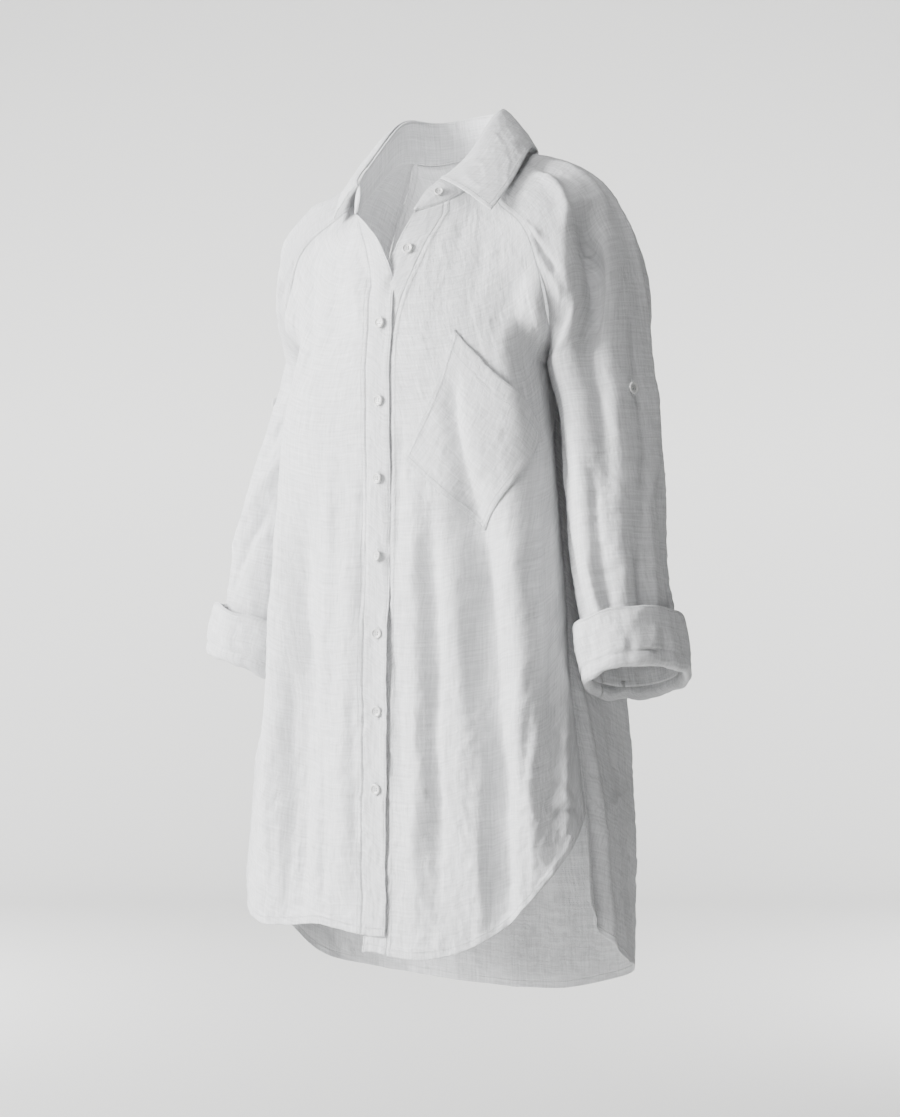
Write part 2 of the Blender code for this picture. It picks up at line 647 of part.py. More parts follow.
def button(name, centre, out, radius, height):
    """A round button with a soft rim, standing on centre and facing out."""
    out = np.asarray(out, float) / np.linalg.norm(out)
    side = np.cross(out, [0.0, 0.0, 1.0])
    side /= np.linalg.norm(side)
    up = np.cross(side, out)
    profile = ((0.80, 0.0), (1.0, 0.25), (1.0, 0.75), (0.84, 1.0), (0.66, 0.80))
    count = 16
    angles = np.linspace(0, 2 * math.pi, count, endpoint=False)
    points, faces = [], []
    for share, rise in profile:
        for angle in angles:
            spoke = side * math.cos(angle) + up * math.sin(angle)
            points.append(centre + spoke * radius * share + out * height * rise)
    for ring in range(len(profile) - 1):
        for k in range(count):
            a, b = ring * count + k, ring * count + (k + 1) % count
            faces.append((a, a + count, b + count, b))
    faces.append(tuple(range(count)))
    faces.append(tuple(reversed(range((len(profile) - 1) * count, len(profile) * count))))
    add_mesh(name, points, faces, SHELL)


def build_buttons(halves, line, sleeve):
    gap = 0.0004
    stand, out = stand_grid(line, 97, 11)
    column = round(STAND_BUTTON["share"] * 96)
    row = round((1 - STAND_BUTTON["rise"]) * 10)
    here = stand[row, column]
    facing = np.cross(stand[row + 1, column] - stand[row - 1, column], stand[row, column + 1] - stand[row, column - 1])
    facing /= np.linalg.norm(facing)
    button("button_01", here + facing * gap, facing, BUTTON_RADIUS * 0.85, BUTTON_HEIGHT)
    row_length = np.linalg.norm(np.diff(halves["front_left"][UPPER_ROWS - 1], axis=0), axis=1).sum()
    point, facing = at_height(halves["front_left"], SECOND_BUTTON["x"] / row_length, SECOND_BUTTON["z"])
    button("button_02", point + facing * gap, facing, BUTTON_RADIUS, BUTTON_HEIGHT)
    for k in range(7):
        z = BUTTON_TOP - BUTTON_SPACING * k
        point, facing = at_height(halves["front_right"], 0.0, z)
        point = point + [0.004, -BAND_LIFT, 0.0]
        button(f"button_{k + 3:02d}", point + facing * 0.0008, facing, BUTTON_RADIUS, BUTTON_HEIGHT)
    centre, across, along = arm_section(SLEEVE_BUTTON["z"])
    angle = math.radians(SLEEVE_BUTTON["angle"])
    point = centre + across * math.cos(angle) + along * math.sin(angle)
    facing = across * math.cos(angle) / (across @ across) + along * math.sin(angle) / (along @ along)
    facing /= np.linalg.norm(facing)
    point = point + facing * 0.0012
    button("sleeve_button_left", point, facing, SLEEVE_BUTTON_RADIUS, BUTTON_HEIGHT)
    flip = np.array([-1.0, 1.0, 1.0])
    button("sleeve_button_right", point * flip, facing * flip, SLEEVE_BUTTON_RADIUS, BUTTON_HEIGHT)


def main():
    for found in list(bpy.data.objects):
        bpy.data.objects.remove(found)
    hems = {
        "front_left": FRONT_HEM,
        "front_right": FRONT_HEM_RIGHT,
        "back_left": BACK_HEM,
        "back_right": BACK_HEM_RIGHT,
    }
    halves = {}
    for name, hem in hems.items():
        part = name.split("_")[0]
        columns = HALF_COLUMNS if part == "front" else BACK_COLUMNS
        halves[name] = torso_grid(part, columns, UPPER_ROWS, LOWER_ROWS, hem)
    sleeve = sleeve_grid()
    pieces = build_body(halves, sleeve)
    line = neck_line(pieces, sleeve)
    stand, _ = stand_grid(line, 41, 4)
    cloth("collar_stand", stand.reshape(-1, 3), grid_faces(4, 41))
    fall = fall_grid(line, 41, 6)
    cloth("collar_fall", fall.reshape(-1, 3), grid_faces(6, 41))
    cuff = cuff_grid(25)
    for name, grid in (("cuff_left", cuff), ("cuff_right", mirrored(cuff))):
        points, faces = tube_mesh(grid)
        cloth(name, points, faces)
    pocket = pocket_grid(halves["front_left"], 11)
    cloth("pocket", pocket.reshape(-1, 3), grid_faces(11, 11))
    build_buttons(halves, line, sleeve)


main()
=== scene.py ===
"""The linen shirt's visible cloth, sewing and buttons. Metres, X the wearer's left, -Y the front, +Z up.
The origin is the middle of the neck at the height of the neck seam."""

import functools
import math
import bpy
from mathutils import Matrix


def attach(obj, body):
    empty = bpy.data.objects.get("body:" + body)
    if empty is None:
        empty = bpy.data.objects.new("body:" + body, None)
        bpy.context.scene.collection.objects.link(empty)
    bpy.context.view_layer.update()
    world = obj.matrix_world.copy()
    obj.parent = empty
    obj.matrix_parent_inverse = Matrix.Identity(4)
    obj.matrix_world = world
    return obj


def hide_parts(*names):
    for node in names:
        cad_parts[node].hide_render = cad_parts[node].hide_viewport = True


bl_info = {
    "name": "Linen shirt",
    "version": (1, 0, 0),
    "blender": (4, 5, 0),
    "location": "View3D > Sidebar > Shirt",
    "description": "Builds the cloth, stitches, buttons and stage of a long linen shirt",
    "category": "Add Mesh",
}

import bpy
import numpy as np

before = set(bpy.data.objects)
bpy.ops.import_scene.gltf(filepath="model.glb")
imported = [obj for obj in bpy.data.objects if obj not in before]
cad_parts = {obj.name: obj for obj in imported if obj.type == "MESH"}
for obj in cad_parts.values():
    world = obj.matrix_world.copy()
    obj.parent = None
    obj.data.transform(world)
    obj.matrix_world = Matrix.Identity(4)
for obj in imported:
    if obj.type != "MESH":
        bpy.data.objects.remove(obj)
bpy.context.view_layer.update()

# Sizes of the cloth and the sewing
WALL = 0.0009
BAND_WIDTH = 0.030
BAND_LIFT = 0.0024
BUTTON_RADIUS = 0.0057
BUTTON_HEIGHT = 0.0026
BUTTON_SPACING = 0.0805
SLEEVE_BUTTON_RADIUS = 0.0064
POCKET_GAP = 0.0006
POCKET_SWELL = 0.003
POCKET_SAG = 0.004
ARM_Z = -0.240
# Stretch of the front carried over the hollow beside the armpit: heights, and shares of the width.
BRIDGE = {"from_z": -0.150, "to_z": -0.345, "grow": 0.30, "end": 0.99, "fade": 0.20}
CRUMPLE_SIZE = 0.017
CRUMPLE_STRETCH = 1.3
HEM_TURN = 0.0085
SEAM_TURN = 0.0065
ARM_AROUND = 0.165
ARM_ALONG = 0.300
# The drawn fold in front of the arm, against the solid's: turned round the arm (radians), and deeper.
ARM_FOLD_SHIFT = 0.46
ARM_FOLD_DEEPER = 2.6
# The box sewn round a sleeve button: half width, reach below and above the button, lift off the cloth.
TAB_BOX = {"half_width": 0.0115, "below": 0.052, "above": 0.022, "lift": 0.0003}

# Rows above the armpit. v runs from the neck seam to the armpit.
# front / back: centre line y, z.  seam: raglan seam.  top: outermost line of the sleeve.
UPPER = {
    "v": (0.0, 0.15, 0.35, 0.60, 0.85, 1.0),
    "front_y": (-0.112, -0.116, -0.121, -0.126, -0.1295, -0.131),
    "front_z": (-0.086, -0.103, -0.130, -0.168, -0.214, -0.240),
    "front_reach": (0.030, 0.034, 0.046, 0.064, 0.098, 0.122),
    "fseam_x": (0.076, 0.101, 0.136, 0.1570, 0.1640, 0.1330),
    "fseam_y": (-0.040, -0.060, -0.0700, -0.0730, -0.0580, 0.0070),
    "fseam_z": (-0.038, -0.069, -0.0960, -0.1350, -0.2000, -0.2400),
    "top_x": (0.074, 0.115, 0.160, 0.1930, 0.2130, 0.2210),
    "top_y": (-0.004, 0.002, 0.008, 0.0140, 0.0200, 0.0200),
    "top_z": (-0.012, -0.020, -0.038, -0.0800, -0.1500, -0.2150),
    "bseam_x": (0.066, 0.094, 0.127, 0.1520, 0.1600, 0.1330),
    "bseam_y": (0.024, 0.056, 0.081, 0.0920, 0.0850, 0.0200),
    "bseam_z": (-0.005, -0.024, -0.056, -0.1100, -0.1900, -0.2400),
    "opening": (50, 66, 80, 94, 112, 174.5),
    "back_y": (0.070, 0.090, 0.106, 0.116, 0.121, 0.122),
    "back_z": (0.003, -0.022, -0.064, -0.130, -0.204, -0.240),
    "back_reach": (0.040, 0.052, 0.070, 0.084, 0.088, 0.088),
}
# Rings below the armpit. side: side seam.  front_in / back_in: how the ring meets it.
LOWER = {
    "z": (-0.930, -0.800, -0.700, -0.600, -0.550, -0.500, -0.400, -0.320, -0.280, -0.240),
    "front_y": (-0.142, -0.138, -0.136, -0.134, -0.1335, -0.133, -0.132, -0.1315, -0.131, -0.131),
    "front_reach": (0.124, 0.112, 0.106, 0.106, 0.108, 0.110, 0.112, 0.116, 0.120, 0.122),
    "side_x": (0.226, 0.218, 0.208, 0.188, 0.178, 0.172, 0.154, 0.137, 0.133, 0.133),
    "side_y": (-0.066, -0.062, -0.057, -0.048, -0.042, -0.036, -0.020, -0.006, 0.004, 0.0135),
    "front_in_x": (0.018, 0.014, 0.014, 0.026, 0.036, 0.042, 0.058, 0.074, 0.052, 0.006),
    "front_in_y": (-0.060, -0.058, -0.060, -0.066, -0.070, -0.076, -0.088, -0.108, -0.120, -0.132),
    "back_in_x": (0.024, 0.022, 0.026, 0.034, 0.032, 0.028, 0.024, 0.022, 0.014, 0.002),
    "back_in_y": (0.150, 0.142, 0.138, 0.136, 0.132, 0.126, 0.114, 0.104, 0.096, 0.088),
    "back_y": (0.122, 0.120, 0.119, 0.118, 0.118, 0.118, 0.119, 0.121, 0.122, 0.122),
    "back_reach": (0.136, 0.132, 0.130, 0.128, 0.124, 0.118, 0.102, 0.092, 0.090, 0.088),
}
# Sleeve rings below the armpit: centre, half width across, half width front to back, lean.
ARM = {
    "z": (-0.600, -0.560, -0.520, -0.450, -0.370, -0.300, -0.262),
    "x": (0.2530, 0.2470, 0.2375, 0.2230, 0.2095, 0.1940, 0.1850),
    "y": (-0.0260, -0.0220, -0.0190, -0.0130, -0.0010, 0.0120, 0.0170),
    "across": (0.0420, 0.0420, 0.0425, 0.0440, 0.0460, 0.0450, 0.0445),
    "along": (0.0570, 0.0570, 0.0580, 0.0640, 0.0660, 0.0665, 0.0655),
    "lean": (0.32, 0.32, 0.30, 0.22, 0.16, 0.14, 0.16),
    "pitch": (-0.22, -0.22, -0.20, -0.12, -0.05, 0.0, 0.0),
}
# Free edge of the fronts above the closed part, and the turn-out of the right one.
NECK_EDGE = {
    "z": (-0.240, -0.210, -0.170, -0.129, -0.107, -0.092, -0.070),
    "left_x": (-0.013, -0.012, -0.004, 0.010, 0.0175, 0.0240, 0.0380),
    "right_x": (-0.017, -0.017, -0.0165, -0.011, -0.001, 0.0140, 0.0420),
}
# Hem height against the share of the panel's width, from the centre line to the side seam.
FRONT_HEM = {
    "share": (0.0, 0.12, 0.30, 0.50, 0.66, 0.78, 0.88, 0.95, 1.0),
    "z": (-0.848, -0.852, -0.849, -0.830, -0.800, -0.768, -0.738, -0.714, -0.700),
}
FRONT_HEM_RIGHT = {
    "share": (0.0, 0.12, 0.30, 0.50, 0.66, 0.78, 0.88, 0.95, 1.0),
    "z": (-0.832, -0.830, -0.826, -0.832, -0.832, -0.816, -0.780, -0.735, -0.700),
}
BACK_HEM = {
    "share": (0.0, 0.06, 0.12, 0.30, 0.55, 0.80, 1.0),
    "z": (-0.792, -0.826, -0.842, -0.866, -0.892, -0.914, -0.920),
}
BACK_HEM_RIGHT = {
    "share": (0.0, 0.06, 0.12, 0.20, 0.30, 0.50, 0.80, 1.0),
    "z": (-0.770, -0.795, -0.820, -0.855, -0.885, -0.907, -0.918, -0.920),
}
# Large soft folds of the body: place along the panel, width, depth, height where each starts.
FRONT_FOLDS = (
    {"share": 0.22, "width": 0.07, "depth": 0.0030, "from_z": -0.50},
    {"share": 0.46, "width": 0.08, "depth": -0.0070, "from_z": -0.42},
    {"share": 0.66, "width": 0.07, "depth": 0.0050, "from_z": -0.40},
    {"share": 0.84, "width": 0.06, "depth": -0.0050, "from_z": -0.50},
)
BACK_FOLDS = (
    {"share": 0.16, "width": 0.07, "depth": -0.0060, "from_z": -0.40},
    {"share": 0.36, "width": 0.08, "depth": 0.0060, "from_z": -0.30},
    {"share": 0.58, "width": 0.08, "depth": -0.0080, "from_z": -0.26},
    {"share": 0.80, "width": 0.07, "depth": 0.0060, "from_z": -0.34},
)
# The deep fold of the sleeve in front of the arm: angle from straight out, by height.
ARM_FOLD = {
    "z": (-0.260, -0.215, -0.170, -0.130, -0.095, -0.070),
    "angle": (-100, -86, -76, -66, -54, -46),
    "depth": (0.0, 0.002, 0.010, 0.013, 0.008, 0.0),
}
# Collar stand against the share of its length from the left front end: height, lean inwards.
STAND = {
    "share": (0.0, 0.015, 0.04, 0.08, 0.20, 0.35, 0.50, 0.65, 0.80, 0.92, 0.96, 0.985, 1.0),
    "height": (0.004, 0.016, 0.024, 0.029, 0.040, 0.046, 0.043, 0.046, 0.040, 0.032, 0.026, 0.016, 0.004),
    "lean": (0.50, 0.50, 0.50, 0.45, 0.30, 0.25, 0.15, 0.15, 0.12, 0.15, 0.15, 0.15, 0.15),
}
# Outer edge of the collar fall, from the left point round the back to the right point.
FALL = {
    "share": (0.0, 0.13, 0.28, 0.42, 0.50, 0.58, 0.72, 0.87, 1.0),
    "x": (0.1145, 0.1165, 0.1060, 0.0600, 0.0, -0.0620, -0.1060, -0.1090, -0.1000),
    "y": (-0.0900, -0.0560, -0.0020, 0.0740, 0.1060, 0.0800, 0.0040, -0.0500, -0.0780),
    "z": (-0.0840, -0.0520, -0.0080, -0.0060, -0.0080, -0.0060, -0.0060, -0.0440, -0.0760),
}
FALL_START = 0.055
FOLD_RISE = 0.0010
FOLD_OUT = 0.0018
# How the right neck edge is lifted over the left front and turned out.
LAPEL = {"turn_from_z": -0.165, "turn_over": 0.085, "reach": 0.030, "forward": 0.013, "across": 0.006}
LAPEL_FLAT = {"from_x": 0.012, "over": 0.045}
# How the right side of the neck opens: where along y, how wide, how far in or out.
NECK_PINCH = {"y": -0.035, "width": 0.028, "by": 0.009}
NECK_FLARE = {"y": -0.105, "width": 0.030, "by": -0.010}
# Corners of the pocket on the left front: share across from the centre line, and height.
POCKET = {
    "corner": ("top", "right", "bottom", "left"),
    "share": (0.43, 0.76, 0.49, 0.13),
    "z": (-0.207, -0.303, -0.413, -0.338),
}
BUTTON_TOP = -0.197
SECOND_BUTTON = {"x": 0.0490, "z": -0.1204}
STAND_BUTTON = {"share": 0.052, "rise": 0.50}
SLEEVE_BUTTON = {"z": -0.272, "angle": -18}
SLEEVE_END = -0.556
CUFF_ROOM = 0.0095
CUFF_ROLL = 0.0080
CUFF_TOP = -0.509

# Creases of the fronts. a: metres from the centre line round the body, z: height.
# bow: sideways bend of the middle. depth: out is positive. skew: above 0, the outer side is the soft one.
CREASE_COLUMNS = ("from_a", "from_b", "to_a", "to_b", "bow", "width", "depth", "skew")
LEFT_CREASES = (
    (0.088, -0.245, 0.122, -0.430, 0.004, 0.013, -0.0060, 0.2),
    (0.112, -0.340, 0.170, -0.880, -0.005, 0.023, -0.0135, 0.3),
    (0.070, -0.370, 0.082, -0.820, 0.004, 0.009, -0.0045, 0.0),
    (0.045, -0.340, 0.056, -0.850, -0.003, 0.013, 0.0050, 0.2),
    (0.080, -0.360, 0.126, -0.850, -0.003, 0.016, 0.0042, 0.0),
    (0.150, -0.340, 0.204, -0.780, 0.006, 0.024, 0.0075, -0.2),
    (0.193, -0.330, 0.226, -0.640, 0.004, 0.014, -0.0040, 0.2),
    (0.092, -0.075, 0.056, -0.235, 0.004, 0.012, -0.0012, 0.2),
    (0.078, -0.080, 0.050, -0.260, 0.004, 0.012, 0.0012, 0.0),
    (0.110, -0.085, 0.104, -0.200, 0.000, 0.012, -0.0010, 0.0),
    (0.160, -0.140, 0.126, -0.220, 0.003, 0.014, -0.0016, 0.2),
    (0.160, -0.190, 0.206, -0.330, 0.006, 0.015, -0.0030, 0.0),
    (0.138, -0.200, 0.166, -0.330, 0.004, 0.014, 0.0016, 0.0),
    (0.300, -0.697, 0.222, -0.700, 0.004, 0.005, -0.0022, 0.0),
    (0.300, -0.690, 0.226, -0.668, 0.003, 0.005, -0.0020, 0.0),
    (0.300, -0.703, 0.208, -0.775, -0.004, 0.007, 0.0026, 0.0),
    (0.296, -0.712, 0.238, -0.760, 0.002, 0.005, -0.0020, 0.0),
    (0.030, -0.290, 0.026, -0.450, 0.003, 0.006, -0.0016, 0.0),
    (0.020, -0.520, 0.034, -0.700, -0.004, 0.007, -0.0018, 0.0),
    (0.126, -0.620, 0.134, -0.850, 0.003, 0.007, 0.0030, 0.0),
    (0.184, -0.560, 0.196, -0.790, 0.004, 0.009, -0.0030, 0.2),
    (0.238, -0.520, 0.262, -0.740, 0.003, 0.010, 0.0030, 0.0),
)
RIGHT_CREASES = (
    (0.101, -0.360, 0.104, -0.860, -0.008, 0.019, -0.0085, 0.2),
    (0.112, -0.500, 0.090, -0.700, 0.004, 0.007, -0.0030, 0.0),
    (0.040, -0.390, 0.040, -0.830, 0.004, 0.016, 0.0050, 0.0),
    (0.068, -0.330, 0.072, -0.600, 0.004, 0.010, 0.0032, 0.0),
    (0.017, -0.340, 0.021, -0.520, 0.002, 0.005, -0.0022, 0.0),
    (0.026, -0.560, 0.018, -0.760, -0.003, 0.006, -0.0020, 0.0),
    (0.150, -0.330, 0.160, -0.800, 0.004, 0.022, 0.0060, 0.0),
    (0.046, -0.110, 0.008, -0.170, 0.003, 0.007, -0.0022, 0.0),
    (0.062, -0.115, 0.020, -0.205, 0.003, 0.008, 0.0018, 0.0),
    (0.090, -0.100, 0.066, -0.230, 0.004, 0.010, -0.0022, 0.0),
    (0.140, -0.120, 0.106, -0.260, 0.003, 0.013, -0.0030, 0.2),
    (0.160, -0.190, 0.196, -0.310, 0.006, 0.013, -0.0040, 0.0),
    (0.076, -0.620, 0.068, -0.830, 0.002, 0.007, -0.0030, 0.0),
    (0.130, -0.540, 0.128, -0.830, 0.003, 0.008, -0.0040, 0.0),
    (0.190, -0.380, 0.214, -0.720, 0.005, 0.013, -0.0050, 0.2),
    (0.236, -0.440, 0.256, -0.720, 0.002, 0.014, 0.0040, 0.0),
)
BACK_CREASES = (
    (0.020, -0.120, 0.030, -0.900, 0.006, 0.016, -0.0050, 0.0),
    (0.058, -0.200, 0.066, -0.900, -0.006, 0.018, 0.0070, 0.2),
    (0.100, -0.150, 0.118, -0.900, 0.008, 0.015, -0.0085, 0.2),
    (0.152, -0.180, 0.168, -0.900, -0.004, 0.018, 0.0060, 0.0),
    (0.200, -0.260, 0.222, -0.900, 0.004, 0.014, -0.0060, 0.0),
    (0.246, -0.380, 0.276, -0.900, 0.004, 0.014, 0.0050, 0.0),
    (0.300, -0.500, 0.330, -0.900, -0.004, 0.010, -0.0050, 0.0),
    (0.340, -0.640, 0.362, -0.910, 0.003, 0.009, 0.0040, 0.0),
    (0.150, -0.110, 0.110, -0.230, 0.004, 0.010, -0.0030, 0.0),
    (0.036, -0.030, 0.010, -0.160, 0.002, 0.009, -0.0020, 0.0),
    (0.070, -0.040, 0.080, -0.180, 0.003, 0.010, 0.0022, 0.0),
    (0.190, -0.200, 0.150, -0.330, -0.004, 0.010, -0.0035, 0.0),
    (0.300, -0.700, 0.240, -0.690, 0.003, 0.006, -0.0018, 0.0),
)
# Creases of the sleeve. a: share round the arm, -1 and 1 underneath, 0 outermost.
# b: 0 at the neck seam, 1 at the armpit, 2 at the cuff.
SLEEVE_CREASES = (
    (-0.60, 0.80, -0.52, 1.90, 0.010, 0.014, 0.0050, 0.2),
    (-0.38, 0.50, -0.32, 1.60, 0.006, 0.014, -0.0058, 0.0),
    (-0.22, 1.00, -0.28, 1.90, -0.004, 0.014, 0.0046, 0.0),
    (-0.43, 1.30, -0.42, 1.98, 0.003, 0.007, -0.0034, 0.0),
    (-0.02, 0.90, -0.11, 1.60, 0.004, 0.008, -0.0030, 0.0),
    (0.04, 1.36, 0.07, 1.92, 0.006, 0.007, -0.0042, 0.2),
    (-0.06, 1.40, -0.12, 1.96, 0.002, 0.007, 0.0030, 0.0),
    (-0.18, 1.62, -0.19, 1.98, 0.001, 0.005, -0.0036, 0.0),
    (-0.48, 1.62, -0.48, 1.96, 0.001, 0.005, 0.0026, 0.0),
    (-0.36, 0.20, -0.54, 0.62, 0.004, 0.011, 0.0040, 0.0),
    (-0.20, 0.12, -0.34, 0.46, 0.003, 0.010, -0.0028, 0.0),
    (0.00, 0.16, -0.08, 0.66, 0.004, 0.012, 0.0026, 0.0),
    (-0.98, 0.46, -0.80, 0.74, 0.002, 0.006, -0.0028, 0.0),
    (-0.98, 0.60, -0.76, 0.84, 0.002, 0.006, 0.0022, 0.0),
    (-0.98, 0.34, -0.84, 0.56, 0.001, 0.005, 0.0020, 0.0),
    (0.16, 0.50, 0.12, 1.30, 0.006, 0.010, 0.0036, 0.0),
    (0.28, 0.80, 0.20, 1.80, 0.008, 0.010, -0.0046, 0.0),
    (0.42, 0.60, 0.38, 1.50, 0.006, 0.012, 0.0040, 0.0),
    (0.58, 0.90, 0.50, 1.90, -0.006, 0.009, -0.0044, 0.0),
    (0.74, 1.05, 0.66, 1.96, 0.004, 0.009, 0.0036, 0.0),
    (0.97, 0.50, 0.78, 0.86, 0.002, 0.007, -0.0030, 0.0),
    (0.62, 0.30, 0.46, 0.86, 0.003, 0.010, -0.0034, 0.0),
    (-0.86, 1.06, -0.66, 1.40, 0.003, 0.007, -0.0030, 0.0),
    (-0.78, 1.40, -0.62, 1.90, 0.003, 0.007, -0.0026, 0.0),
)
RIGHT_SLEEVE_CREASES = (
    (-0.56, 1.12, -0.30, 1.50, 0.004, 0.008, -0.0040, 0.0),
    (-0.60, 1.26, -0.30, 1.72, 0.003, 0.008, 0.0036, 0.0),
    (-0.64, 1.44, -0.36, 1.86, 0.003, 0.007, -0.0036, 0.0),
    (-0.30, 0.60, -0.20, 1.30, 0.005, 0.010, -0.0040, 0.0),
    (-0.10, 0.80, -0.12, 1.70, 0.004, 0.010, 0.0036, 0.0),
    (-0.40, 0.24, -0.56, 0.66, 0.003, 0.010, 0.0034, 0.0),
    (0.06, 1.20, 0.02, 1.90, 0.004, 0.008, -0.0040, 0.0),
    (0.22, 0.50, 0.18, 1.40, 0.004, 0.011, 0.0036, 0.0),
    (0.36, 0.80, 0.30, 1.84, 0.006, 0.010, -0.0046, 0.0),
    (0.54, 0.70, 0.48, 1.70, 0.004, 0.011, 0.0040, 0.0),
    (0.70, 1.02, 0.62, 1.92, 0.003, 0.008, -0.0036, 0.0),
    (-0.98, 0.48, -0.80, 0.76, 0.002, 0.006, -0.0026, 0.0),
    (0.97, 0.50, 0.78, 0.84, 0.002, 0.007, -0.0030, 0.0),
)
# Creases of the turned-up cuff. a: share round, b: metres up from the roll.
CUFF_CREASES = (
    (-0.62, 0.004, -0.56, 0.046, 0.002, 0.005, -0.0022, 0.0),
    (-0.46, 0.000, -0.34, 0.040, 0.002, 0.006, 0.0020, 0.0),
    (-0.36, 0.010, -0.30, 0.050, 0.001, 0.004, -0.0020, 0.0),
    (-0.22, 0.020, -0.17, 0.050, 0.001, 0.005, 0.0022, 0.0),
    (-0.12, -0.004, -0.13, 0.050, 0.001, 0.0035, -0.0030, 0.0),
    (-0.06, 0.000, -0.07, 0.046, 0.001, 0.004, 0.0020, 0.0),
    (0.03, 0.004, 0.07, 0.044, 0.001, 0.005, -0.0020, 0.0),
    (0.16, 0.000, 0.12, 0.044, 0.001, 0.006, 0.0018, 0.0),
    (0.30, 0.004, 0.36, 0.046, 0.002, 0.006, -0.0022, 0.0),
    (0.50, 0.000, 0.46, 0.044, 0.001, 0.007, 0.0020, 0.0),
    (0.68, 0.006, 0.74, 0.046, 0.002, 0.005, -0.0020, 0.0),
    (0.86, 0.000, 0.82, 0.046, 0.001, 0.006, 0.0020, 0.0),
    (-0.80, 0.000, -0.88, 0.044, 0.001, 0.006, -0.0020, 0.0),
)


def spline(table, column, at, key):
    """Smooth curve through one column of a table, clamped at its ends."""
    xs = np.array(table[key], float)
    ys = np.array(table[column], float)
    if xs[0] > xs[-1]:
        xs, ys = xs[::-1], ys[::-1]
    slope = np.gradient(ys, xs)
    at = np.clip(np.asarray(at, float), xs[0], xs[-1])
    i = np.clip(np.searchsorted(xs, at, side="right") - 1, 0, len(xs) - 2)
    step = xs[i + 1] - xs[i]
    t = (at - xs[i]) / step
    a, b = ys[i], ys[i + 1]
    m, n = slope[i] * step, slope[i + 1] * step
    return a + t * m + t * t * (3 * (b - a) - 2 * m - n) + t ** 3 * (2 * (a - b) + m + n)


def point3(table, prefix, at, key):
    return np.stack([spline(table, prefix + axis, at, key) for axis in ("x", "y", "z")], -1)


def soft(x):
    """0 to 1, eased at both ends."""
    x = np.clip(x, 0, 1)
    return x * x * (3 - 2 * x)


def run_along(path):
    """Distance of each point of a path from its first."""
    return np.concatenate([[0], np.cumsum(np.linalg.norm(np.diff(path, axis=0), axis=1))])


def even(path, shares):
    """Points of a path at shares of its length."""
    run = run_along(path)
    return np.stack([np.interp(shares, run / run[-1], path[:, k]) for k in range(3)], -1)


def bezier(points, count):
    """Points evenly spaced along a cubic curve."""
    t = np.linspace(0, 1, 129)[:, None]
    a, b, c, d = (np.asarray(p, float) for p in points)
    path = a * (1 - t) ** 3 + 3 * b * t * (1 - t) ** 2 + 3 * c * t * t * (1 - t) + d * t ** 3
    return even(path, np.linspace(0, 1, count))


def arm_stations():
    """Half axis front to back at each row of the sleeve table, where the two seams are its ends."""
    stations = []
    for i, at in enumerate(UPPER["v"]):
        span = point3(UPPER, "bseam_", at, "v") - point3(UPPER, "fseam_", at, "v")
        stations.append(span / 2 / math.sin(math.radians(UPPER["opening"][i])))
    stations[-1] = np.array([0.0, 0.0660, 0.0])
    stations = np.array(stations)
    return {"v": UPPER["v"], "x": stations[:, 0], "y": stations[:, 1], "z": stations[:, 2]}


def sleeve_section(v):
    """Centre and half axes of the sleeve's section at row v, and its half opening angle."""
    front = point3(UPPER, "fseam_", v, "v")
    back = point3(UPPER, "bseam_", v, "v")
    top = point3(UPPER, "top_", v, "v")
    angle = math.radians(spline(UPPER, "opening", v, "v"))
    along = point3(arm_stations(), "", v, "v")
    across = (top - (front + back) / 2) / (1 - math.cos(angle))
    return top - across, across, along, min(angle, math.radians(UPPER["opening"][-1]))


def arm_fold(points, angles, centre):
    """Presses the deep fold in front of the arm into a section."""
    z = points[:, 2]
    where = np.radians(spline(ARM_FOLD, "angle", z, "z")) + ARM_FOLD_SHIFT
    depth = ARM_FOLD_DEEPER * spline(ARM_FOLD, "depth", z, "z")
    start = np.clip((angles - angles[0]) / 0.5, 0, 1)
    ridge = np.exp(-(((angles - where + 0.34) / 0.20) ** 2)) * start
    press = np.exp(-(((angles - where) / 0.17) ** 2)) * start
    inward = centre - points
    inward = inward / np.linalg.norm(inward, axis=1)[:, None]
    return points + inward * (depth * (press - 0.20 * ridge))[:, None]


def arm_section(z, room=0.0):
    """Centre and half axes of the sleeve's tube at height z, made larger by room."""
    centre = np.array([spline(ARM, "x", z, "z"), spline(ARM, "y", z, "z"), z])
    lean, pitch = spline(ARM, "lean", z, "z"), spline(ARM, "pitch", z, "z")
    across = np.array([1.0, 0.0, lean]) * (spline(ARM, "across", z, "z") + room)
    along = np.array([0.0, 1.0, pitch]) * (spline(ARM, "along", z, "z") + room)
    return centre, across, along


def sleeve_row(q, count):
    """One row of the left sleeve. q up to 1 is above the armpit, then 1 to 2 runs to the cuff."""
    if q <= 1:
        centre, across, along, angle = sleeve_section(q)
    else:
        z = ARM_Z + (q - 1) * (SLEEVE_END - ARM_Z)
        centre, across, along = arm_section(z)
        first = sleeve_section(1.0)
        blend = float(soft((q - 1) / 0.12))
        centre = first[0] * (1 - blend) + centre * blend
        centre[2] = (first[0][2] - (q - 1) * (ARM_Z - SLEEVE_END)) * (1 - blend) + z * blend
        across = first[1] * (1 - blend) + across * blend
        along = first[2] * (1 - blend) + along * blend
        angle = first[3] + (math.pi - first[3]) * min(1.0, (q - 1) / 0.02)
    angles = np.linspace(-angle, angle, count)
    points = centre + across * np.cos(angles)[:, None] + along * np.sin(angles)[:, None]
    return arm_fold(points, angles, centre)


